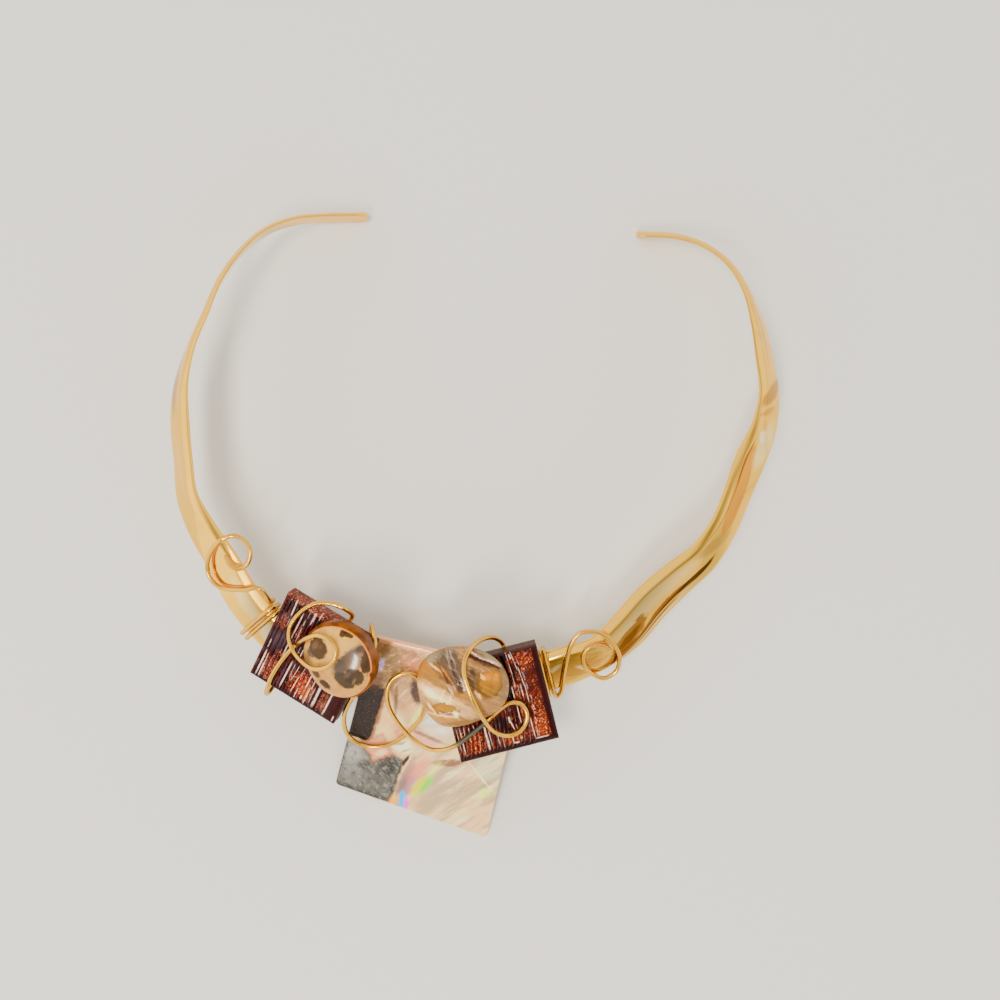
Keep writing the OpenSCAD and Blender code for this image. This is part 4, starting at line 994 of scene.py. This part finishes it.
def tileMesh(name, look, tile):
    # lid of points whose border rows turn down a rounded edge to the base; its height is less by the border's
    # fall, the grooves between half-round ribs, the bar's crown and the turn at the ribs' foot and head
    side, bevel, seed = look["side"], look["bevel"], tile["seed"]
    flatHalf = side / 2 - bevel
    drop = np.radians(np.linspace(15, 90, look["bevelSteps"]))
    wall = np.linspace(bevel, look["thick"], look["wallSteps"])[2:]
    out = np.r_[bevel * np.sin(drop), np.full(len(wall), bevel)]
    down = np.r_[bevel * (1 - np.cos(drop)), wall]
    runs = [np.linspace(-flatHalf, flatHalf, look[key]) for key in ("lidColumns", "lidRows")]
    gridX, gridY = np.meshgrid(*(np.r_[-flatHalf - out[::-1], run, flatHalf + out] for run in runs))
    fallX, fallY = (np.r_[down[::-1], 0 * run, down] for run in runs)
    fall = np.maximum(fallX[None, :], fallY[:, None])
    top = np.clip(1 - fall / (bevel * look["shoulder"]), 0, 1)
    which, across, onBar = ribPlaces(gridX, gridY, look, tile)
    draw = np.random.default_rng(seed).uniform(*look["heights"], len(tile["ribs"]))
    dips = swell(look["unevenPace"] * which, gridY, look["unevenLength"], seed + 1) + look["unevenShift"]
    uneven = 1 - look["uneven"] * np.clip(dips, 0, 1)
    valley = 1 - draw[which] * uneven * np.sqrt(np.clip(1 - (2 * across - 1) ** 2, 0, 1))
    smooth = np.clip(onBar * tile["bar"] / look["barBlend"], 0, 1)
    relief = -look["groove"] * valley * (1 - smooth)
    relief = relief - look["crown"] * (2 * np.clip(onBar, 0, 1) - 1) ** 4 * smooth
    footShare = np.clip(1 - (gridY + side / 2) / tile["foot"], 0, 1)
    headShare = np.clip(1 - (side / 2 - gridY) / tile["head"], 0, 1)
    rim = 1 - np.maximum(footShare, headShare) ** 0.5
    turnDown = look["dip"] * (2 - np.sqrt(1 - footShare ** 2 * 0.98) - np.sqrt(1 - headShare ** 2 * 0.98))
    waves = look["waves"] * (swell(gridX, gridY, look["waveLength"], seed + 5) - 1)
    height = np.maximum(-fall + (relief * rim - turnDown + waves) * top, -look["thick"])
    pull = look["pull"] * np.clip(fall, 0, 1) * hollowed(gridX + fall, gridY, look["pullLength"], seed + 2)
    pulled = [grid - pull * np.sign(grid) * (np.abs(grid) > flatHalf) for grid in (gridX, gridY)]
    flat = np.stack([gridX, gridY + np.sign(gridY) * 0.5 * fallY[:, None], height], -1)
    # the rib's third value, its groove depth, sets the painted shade in the grooves
    rib = np.stack([across - 0.5, look["toneApart"] * draw[which] + which, valley * top * (1 - smooth)], -1)
    spots = laid(tile["place"], np.stack([*pulled, height], -1))
    mesh = joined(name, spots, {"flat": flat, "rib": rib}, sharp=70)
    work = bmesh.new()
    work.from_mesh(mesh)
    bmesh.ops.holes_fill(work, edges=[edge for edge in work.edges if edge.is_boundary])
    bmesh.ops.recalc_face_normals(work, faces=work.faces)
    work.to_mesh(mesh)
    work.free()
    return mesh


def streakSpot(x, top, foot, wide, lean, share):
    # a thin upright painted highlight as a blocky spot
    return {"x": x, "y": (top + foot) / 2, "long": wide / 2, "wide": (top - foot) / 2, "turn": lean,
            "soft": 0.3, "ragged": 0.5, "share": share, "blocky": True}


def tileFinish(name, look, tile):
    # dark glass over foil: each rib has its own tone, copper flakes lie in patches with painted glints on the
    # brightest, the valleys are darkened as painted shade, and silvery streaks, painted highlights, follow
    # the crests
    finish = Finish(name)
    flat, rib = finish.flat, finish.carried("rib")
    ribDraw, valley = finish.part(rib, 1), finish.part(rib, 2)
    ragged = finish.noise(flat, 0.8, 4, 0.65) - 0.5
    pace = finish.part(flat, 1) * look["tonePace"]
    tone = finish.noise(finish.add("ShaderNodeCombineXYZ", {}, {0: ribDraw, 1: pace}), 1.0, 3, 0.6)
    cloud = finish.noise(flat, 3.2, 3, 0.55)
    patch = finish.streaky(flat, (0.8, 2.0, 2.0), detail=4)
    flakes = finish.cells(flat, 0.22)
    lit, bright = finish.part(flakes, 0), finish.part(flakes, 1)
    dark, medium, dusk = tile["ground"]
    ground = finish.mix(finish.step(tone, 0.40, 0.62), dark, medium)
    duskShare = finish.step(cloud, 0.46, 0.62) * finish.step(tone, 0.34, 0.54) * tile["dusky"]
    ground = finish.mix(duskShare, ground, dusk)
    copper = finish.step(patch + (tone - 0.5) * 0.5, 0.46, 0.66) * tile["density"]
    foil = finish.mix(bright, *tile["flakes"])
    for spot in tile["spots"]:
        inside = finish.oval(flat, spot, ragged)
        copper = copper + inside
        if spot["share"] > 0:
            foil = finish.mix(inside, foil, spot["colour"])
        else:
            ground = finish.mix(inside * -1, ground, spot["colour"])
    glitter = finish.step(lit + copper, 0.78, 1.22) * (0.40 + bright * 0.60)
    # painted glints: the brightest flakes in copper patches made pale
    spark = finish.step(bright, 0.86, 0.92) * finish.step(copper, 0.25, 0.60)
    streak = 0
    for row in tile["streaks"]:
        streak = finish.oval(flat, streakSpot(*row), ragged) + streak
    broken = finish.step(finish.streaky(flat, (0.25, 0.7, 1.0), detail=2), 0.28, 0.46)
    colour = finish.washed(finish.mix(glitter, ground, foil), [(spark * 0.75, (255, 206, 178))])
    # painted shade: the grooves between the ribs darkened towards the dark ground
    colour = finish.mix(finish.step(valley, 0.40, 0.90) * 0.55, colour, dark)
    # painted highlights along the crests
    colour = finish.washed(colour, [(streak * broken, (255, 238, 232))])
    lid = finish.step(finish.part(flat, 2), -1.0, -0.4)
    finish.shade(baseColor=colour, metallic=glitter * lid * 0.35,
                 roughness=look["roughness"] - glitter * 0.08, specularIorLevel=look["specular"],
                 coatWeight=lid * look["coat"], coatRoughness=look["coatRoughness"],
                 normal=finish.bump(lit * 0.7 + ragged * 2, look["bump"]))
    return finish


for tileName, tileNode, tileSlot, tileSide in (("leftTile", "glass_tile_left", "left_glass", "left"),
                                               ("rightTile", "glass_tile_right", "right_glass", "right")):
    setDown(tileName, tileMesh(tileName, tileLook, tileLook[tileSide]),
            tileFinish(tileSide + "CopperGlass", tileLook, tileLook[tileSide]), tileNode)


# spotted bead

beadLook = {
    "place": (-27.2, -26.4, 20.3, -50, 23, 0), "across": 16.8, "wall": 2.2, "dome": 2.8, "lip": 0.4,
    "around": 160, "lipSteps": 6, "domeSteps": 40, "domeFrom": 8, "domeShare": 0.7,
    "shoulder": 0.12, "shoulderRun": 0.3,     # slope between the wall and the dome
    "notch": (6.3, 4.4), "notchDepth": 0.35, "notchReach": 0.6,
    "flatSide": (-104, 0.10, 38),             # direction in degrees, share taken off, reach in degrees
    "bulge": 0.06, "bulgeLength": 9, "bulgeSeed": 31,
    "roughness": 0.30, "specular": 0.08, "coatRoughness": 0.14, "bump": 0.00004,
    "polish": spotList([(2.0, 4.2, 3.4, 4.4, 0, 0.6, 0.2, 1.0)])[0], "polishShare": 0.8, "domePolish": 0.2,
    "face": [tint(218, 190, 126), tint(202, 168, 104)],
    "wallColour": [tint(140, 78, 26), tint(192, 118, 50)],
    "spots": spotList([
        (-2.5, 4, 5.5, 4.5, 0, 0.6, 0.4, 0.45, (226, 206, 146)),
        (3, -3.4, 5, 2.4, 0, 0.6, 0.4, 0.5, (216, 174, 118)),
        (-5, -4, 1.6, 1, -38, 0.5, 0.6, 0.6, (140, 104, 74)),
        (1.1, 3.2, 1.5, 4.3, 3, 0.25, 0.7, 0.92, (104, 82, 76)),
        (0.5, 1.6, 0.8, 1.6, 10, 0.5, 0.9, 0.6, (84, 66, 62)),
        (2.6, 5, 1, 1.3, 20, 0.5, 0.9, 0.55, (166, 120, 92)),
        (1.5, 6.9, 1.2, 0.9, -10, 0.25, 0.9, 0.9, (96, 68, 50)),
        (2.9, 3.8, 1.3, 2.6, 24, 0.5, 0.9, 0.7, (172, 130, 104)),
        (2.4, 0.9, 1.6, 1.4, 0, 0.5, 0.9, 0.75, (118, 96, 84)),
        (2.2, 5.9, 0.7, 0.9, 30, 0.5, 0.9, 0.75, (186, 142, 112)),
        (4.2, 6.1, 2.6, 1.35, -40, 0.14, 0.9, 0.96, (84, 52, 34)),
        (4.6, 2, 2.1, 1.9, 30, 0.14, 0.9, 0.96, (88, 66, 52)),
        (3.8, -0.2, 2.4, 1.7, 12, 0.14, 0.9, 0.96, (86, 72, 56)),
        (3.4, 1.2, 0.5, 0.9, 0, 0.6, 0.9, 0.5, (150, 118, 92)),
        (5.3, 1.2, 0.3, 0.8, 20, 0.6, 0.9, 0.5, (176, 150, 110)),
        (-3.2, 7.2, 1.35, 0.95, 6, 0.14, 0.9, 0.96, (88, 64, 40)),
        (-3.8, 6.2, 0.75, 0.75, 0, 0.2, 0.9, 0.95, (92, 68, 44)),
        (-4.7, -0.3, 2.3, 2.3, 0, 0.14, 0.8, 0.96, (90, 62, 42)),
        (-4.9, -2.2, 1.1, 1.2, 0, 0.3, 0.8, 0.85, (104, 76, 56)),
        (-5.5, -0.4, 0.6, 0.9, 20, 0.7, 0.9, 0.5, (176, 128, 86)),
        (-4.6, 0.5, 0.35, 0.5, 0, 0.6, 0.9, 0.45, (150, 108, 72)),
        (2, -4.7, 1.4, 0.95, 12, 0.2, 0.9, 0.96, (70, 44, 28)),
        # painted shadow of the wire curl at the lower edge
        (-0.9, -4.8, 1.15, 0.9, 0, 0.3, 0.9, 0.92, (84, 54, 34)),
    ]),
}


def beadMesh(look):
    # side view turned round its axis: base, rounded lip, straight wall, then a dome; the rim has one small
    # notch, and one side is a little flatter than round
    rim, lip, wall = look["across"] / 2, look["lip"], look["wall"]
    turns = np.radians(np.linspace(-90, 0, look["lipSteps"]))
    low = np.stack([rim - lip + lip * np.cos(turns), lip + lip * np.sin(turns)], -1)
    wallTop = wall - lip / 2
    shoulder = [rim - look["shoulder"] * math.sin(math.radians(45)), wallTop + look["shoulder"]]
    dome = np.radians(np.linspace(look["domeFrom"], 90, look["domeSteps"]))
    high = np.stack([(rim - lip * look["domeShare"]) * np.cos(dome), wall + look["dome"] * np.sin(dome)], -1)
    upright = [[rim, wallTop - look["shoulderRun"]], [rim, wallTop], shoulder]
    side = np.vstack([[[0, 0], [rim / 2, 0]], low, upright, high])
    around = np.linspace(0, fullTurn, look["around"], endpoint=False)
    flatAt, flatShare, flatReach = look["flatSide"]
    turned = (np.degrees(around) - flatAt + 180) % 360 - 180
    reach = 1 - flatShare * np.exp(-(turned / flatReach) ** 2)
    x, y = side[:, :1] * np.cos(around) * reach, side[:, :1] * np.sin(around) * reach
    away = np.hypot(x - look["notch"][0], y - look["notch"][1])
    pull = look["notchDepth"] * np.exp(-(away / look["notchReach"]) ** 2) * (side[:, 1:] > wall * 0.6)
    bulge = look["bulge"] * (swell(x, y, look["bulgeLength"], look["bulgeSeed"]) - 1)
    z = side[:, 1:] + 0 * x + bulge * (side[:, 1:] > wall) - pull * 0.6
    shrink = 1 - pull / rim
    flat = np.stack([x * shrink, y * shrink, z], -1)
    return joined("spottedBead", laid(look["place"], flat), {"flat": flat}, around=True, sharp=55)


def beadFinish(look):
    # cream shell with brown spots, one of them a painted shadow of the wire, under a clear polish, a pale
    # line along the rim and an amber wall
    finish = Finish("spottedShell")
    flat = finish.flat
    ragged = finish.noise(flat, 0.9, 4, 0.65) - 0.5
    grain = finish.noise(flat, 0.25, 3, 0.7)
    soft = finish.noise(flat, 2.4, 3, 0.55)
    ground = finish.mix(finish.step(soft, 0.38, 0.68), *look["face"])
    colour = finish.painted(ground, finish.warped(flat, 1.2, 0.7), look["spots"], ragged)
    colour = finish.washed(colour, [(finish.step(grain, 0.52, 0.75) * 0.16, (92, 70, 52))])
    high = finish.part(flat, 2) + ragged * 0.12
    amber = finish.mix(finish.step(finish.noise(flat, 2.6, 3), 0.35, 0.7), *look["wallColour"])
    colour = finish.mix(finish.step(high, 2.95, 2.75), colour, amber)
    line = finish.step(high, 2.66, 2.84) * finish.step(high, 3.10, 2.93)
    colour = finish.washed(colour, [(line * 0.85, (238, 190, 134))])
    polish = finish.oval(flat, look["polish"], ragged) * look["polishShare"]
    polish = polish + finish.step(high, 2.9, 3.1) * look["domePolish"]
    finish.shade(baseColor=colour, roughness=look["roughness"] + (grain - 0.5) * 0.1,
                 specularIorLevel=look["specular"], coatWeight=polish, coatRoughness=look["coatRoughness"],
                 normal=finish.bump(grain + ragged * 1.5, look["bump"]))
    return finish


setDown("spottedBead", beadMesh(beadLook), beadFinish(beadLook), "spotted_cabochon")


# pebble of amber shell

pebbleLook = {
    "place": (-1.8, -31.9, 24.0, 0, 10, 0), "thick": 6.0, "fullness": 0.85, "around": 240, "rings": 130,
    "lump": 0.4, "lumpTurn": 40, "waves": 0.06, "waveLength": 3.0, "waveSeed": 41,
    "radii": np.array([9.4, 9.2, 8.6, 8.5, 9.1, 10, 9.4, 9.2, 9.5, 8.5, 8.1, 9.1]),
    "ridges": {"height": 0.10, "pace": 6.4, "way": (0.84, 0.54), "x": -2.6, "y": 4, "long": 2.2, "wide": 3.2},
    "slot": {"depth": 0.28, "way": (0.41, 0.91), "away": 7.1, "wide": 0.40, "x": 4.4, "long": 3.4},
    "hollows": [(5.4, 1.4, 2.0, 2.4, 0.50), (-3.8, -4.1, 2.6, 1.2, 0.30)],   # x, y, reach each way, depth
    "gain": 1.15, "roughness": 0.24, "specular": 0.10, "coat": 0.30, "coatRoughness": 0.06, "bump": 0.00010,
    "bandLean": -32,                          # degrees
    "ground": [tint(188, 146, 92), tint(208, 174, 120)],
    "spots": spotList([
        # tan and olive below on the right, greenish white at the top on both sides
        (4.6, -3.6, 4.6, 3.6, 0, 0.6, 0.4, 0.8, (190, 150, 98)),
        (8, 1.5, 1.5, 5, 8, 0.5, 0.5, 0.7, (160, 128, 94)),
        (-5, 7, 3.8, 2.4, 20, 0.4, 0.8, 0.9, (174, 164, 134)),
        (-3, 8, 1.4, 0.9, 0, 0.5, 0.9, 0.7, (208, 200, 178)),
        (5.8, 7, 3.8, 2.2, -25, 0.3, 0.6, 0.9, (178, 164, 126)),
        # tan band, pearly belt, amber left edge
        (-4.8, 2, 6.6, 1.6, -30, 0.3, 0.4, 0.95, (188, 144, 68)),
        (-2, 0.6, 3, 0.4, -32, 0.5, 0.5, 0.6, (218, 172, 116)),
        (-3.8, -1.9, 6.8, 1.6, -30, 0.4, 0.6, 0.95, (224, 202, 162)),
        # painted highlight on the pearly belt
        (-6.2, -0.9, 2, 0.8, -38, 0.8, 1.4, 0.85, (248, 238, 216)),
        (-3.2, -2.4, 1.4, 0.5, -34, 0.8, 1.4, 0.75, (240, 226, 198)),
        (-0.6, -3.6, 1.6, 0.6, -30, 0.8, 1.4, 0.6, (188, 160, 124)),
        (-4.4, -2.8, 2.2, 0.4, -30, 0.7, 1.2, 0.6, (186, 158, 122)),
        (0.8, -4.6, 2.4, 0.7, -24, 0.7, 0.8, 0.6, (204, 180, 142)),
        (-8.7, 4.4, 1.5, 2.6, -8, 0.4, 0.5, 0.95, (204, 148, 32)),
        (-6.2, 4.4, 1.2, 1.4, 30, 0.5, 0.9, 0.6, (206, 146, 78)),
        # ridges that run down to the right: amber, dark and pale strokes over brown
        (-2.2, 4.8, 2.5, 4.4, 26, 0.3, 1, 0.9, (118, 90, 74)),
        (-4.2, 4, 1.2, 2.6, 34, 0.4, 1, 0.8, (150, 104, 62)),
        (-4.3, 4, 0.28, 1.5, 30, 0.4, 0.9, 0.9, (224, 172, 74)),
        (-3.3, 3, 0.28, 1.7, 30, 0.4, 0.9, 0.9, (220, 166, 62)),
        (-2.5, 2.2, 0.24, 1.3, 28, 0.4, 0.9, 0.85, (206, 150, 60)),
        (-3.8, 3.2, 0.2, 1.6, 30, 0.4, 0.9, 0.85, (72, 40, 24)),
        (-2.9, 2.3, 0.2, 1.6, 30, 0.4, 0.9, 0.85, (72, 40, 24)),
        (-4.8, 5, 0.2, 1.2, 30, 0.4, 0.9, 0.8, (84, 50, 30)),
        (-5.8, 4.8, 1.4, 0.16, -34, 0.4, 1.2, 0.85, (244, 222, 180)),
        (-1.9, 5.6, 0.24, 3, 18, 0.5, 0.9, 0.75, (196, 180, 170)),
        (-1, 3.4, 0.2, 2.6, 24, 0.5, 0.9, 0.7, (190, 170, 156)),
        (-3, 6.4, 0.24, 1.8, 14, 0.5, 0.9, 0.6, (206, 194, 176)),
        (-1.5, 4.2, 0.3, 3.2, 22, 0.4, 0.9, 0.8, (82, 50, 38)),
        (-2.5, 5.2, 0.26, 2.4, 20, 0.4, 0.9, 0.7, (86, 56, 44)),
        (-0.8, 1.5, 0.34, 2, 28, 0.4, 0.9, 0.85, (78, 46, 32)),
        (-0.6, 0.3, 0.8, 0.8, 28, 0.5, 0.9, 0.8, (104, 62, 38)),
        # dark slot with its pale lip, a painted highlight, at the upper right
        (4, 6.6, 3.4, 0.24, -25, 0.4, 0.9, 0.85, (226, 208, 198)),
        (4.3, 5.8, 3.9, 0.42, -24, 0.25, 0.7, 0.98, (84, 34, 24)),
        (3.2, 7.2, 2.2, 0.28, -28, 0.4, 0.7, 0.75, (122, 82, 64)),
        (4.8, 4.9, 3.2, 0.5, -22, 0.4, 0.7, 0.7, (152, 98, 50)),
        # amber pool and the brown hollow beside it
        (2.6, 2.2, 1.6, 3, 20, 0.35, 1, 0.92, (134, 92, 58)),
        (2, 3.8, 0.4, 1, 30, 0.4, 0.9, 0.8, (86, 54, 34)),
        (1.9, 1.6, 0.35, 1.4, 30, 0.5, 0.9, 0.6, (90, 60, 40)),
        (5.4, 1.3, 2.5, 3.1, -8, 0.14, 0.5, 0.95, (150, 106, 34)),
        (5.5, 1.8, 2, 2.4, -8, 0.3, 0.6, 0.95, (208, 156, 26)),
        (5.9, 0.4, 1, 1.1, 0, 0.8, 0.9, 0.6, (172, 120, 24)),
        (5, 3, 0.8, 0.7, 20, 0.7, 1.4, 0.6, (236, 178, 84)),
        (6.6, 2.6, 0.5, 0.9, -20, 0.7, 1.4, 0.55, (232, 180, 74)),
        # painted highlight by the amber pool
        (4, 2.9, 0.36, 0.9, 36, 0.4, 0.8, 0.9, (246, 218, 164)),
        (3, -0.8, 0.42, 1, 36, 0.5, 0.9, 0.8, (224, 204, 174)),
        # ragged amber blob below, with a pearly rim
        (-3.8, -4, 2.9, 1.3, -6, 0.18, 1.6, 0.95, (150, 92, 32)),
        (-3.8, -3.9, 2.4, 1, -6, 0.3, 1.6, 0.95, (206, 160, 46)),
        (-4.2, -5.5, 3.2, 0.28, -6, 0.4, 0.8, 0.8, (244, 224, 184)),
        # painted highlight on the blob's rim
        (-1.5, -5, 0.5, 0.7, 20, 0.4, 1, 0.9, (250, 238, 212)),
        (-6.4, -4, 0.28, 1.6, 38, 0.4, 0.6, 0.8, (246, 226, 182)),
        (-3.4, -6.6, 3.8, 0.9, -12, 0.5, 0.5, 0.8, (206, 160, 88)),
        (0.4, -7.4, 4.6, 0.8, 4, 0.5, 0.4, 0.9, (176, 124, 36)),
    ]),
}


def pebbleMesh(look):
    # outline radius by bearing times the cosine of the height angle, flattened; lumps, ridges, slot, hollows
    bearing = np.linspace(0, fullTurn, look["around"], endpoint=False)
    table, ridges, slot = look["radii"], look["ridges"], look["slot"]
    at = bearing / (fullTurn / len(table))
    first = np.floor(at).astype(int)
    reach = between(*(table[(first + k) % len(table)] for k in (-1, 0, 1, 2)), at - first)
    rise = np.radians(np.linspace(-90, 90, look["rings"]))[:, None]
    radius = reach * np.clip(np.cos(rise), 0, 1) ** look["fullness"]
    x, y = radius * np.cos(bearing), radius * np.sin(bearing)
    z = look["thick"] / 2 * np.sin(rise)
    z = z + look["lump"] * np.sin(2 * bearing + np.radians(look["lumpTurn"])) * np.cos(rise)
    relief = look["waves"] * (swell(x, y, look["waveLength"], look["waveSeed"]) - 1)
    crests = np.sin(ridges["pace"] * (x * ridges["way"][0] + y * ridges["way"][1]))
    within = np.exp(-((x - ridges["x"]) / ridges["long"]) ** 2 - ((y - ridges["y"]) / ridges["wide"]) ** 2)
    away = (x * slot["way"][0] + y * slot["way"][1] - slot["away"]) / slot["wide"]
    cut = np.exp(-away ** 2 - ((x - slot["x"]) / slot["long"]) ** 2)
    relief = relief + ridges["height"] * crests * within - slot["depth"] * cut
    for hollowX, hollowY, reachX, reachY, depth in look["hollows"]:
        away = ((x - hollowX) / reachX) ** 2 + ((y - hollowY) / reachY) ** 2
        relief = relief - depth * np.exp(-away ** 2)
    z = z + np.clip(np.sin(rise) * 2, 0, 1) * relief
    flat = np.stack([x, y, z], -1)
    return joined("amberPebble", laid(look["place"], flat), {"flat": flat}, around=True, sharp=80)


def pebbleFinish(look):
    # banded shell: layers across the stone, amber pools, brown ridges, a pearly belt, an amber edge and a few
    # painted highlights
    finish = Finish("amberShell")
    flat = finish.flat
    ragged = finish.noise(flat, 0.8, 4, 0.65) - 0.5
    grain = finish.noise(flat, 0.3, 3, 0.7)
    bands = finish.streaky(flat, (5.0, 0.5, 1.0), look["bandLean"], 4)
    ground = finish.mix(finish.step(bands, 0.35, 0.65), *look["ground"])
    colour = finish.washed(finish.painted(ground, finish.warped(flat, 1.3, 1.1), look["spots"], ragged), [
        (finish.step(bands, 0.55, 0.72) * 0.14, (246, 228, 196)),
        (finish.step(bands, 0.45, 0.30) * 0.30, (112, 68, 34)),
        (finish.step(finish.part(flat, 2), 0.9, -0.6) * 0.85, (194, 130, 38)),
    ])
    finish.shade(baseColor=finish.brighter(colour, look["gain"]),
                 roughness=look["roughness"] + (grain - 0.5) * 0.12,
                 specularIorLevel=look["specular"], coatWeight=look["coat"],
                 coatRoughness=look["coatRoughness"],
                 normal=finish.bump(bands + grain * 0.5 + ragged, look["bump"]))
    return finish


setDown("amberPebble", pebbleMesh(pebbleLook), pebbleFinish(pebbleLook), "pearl_nugget")
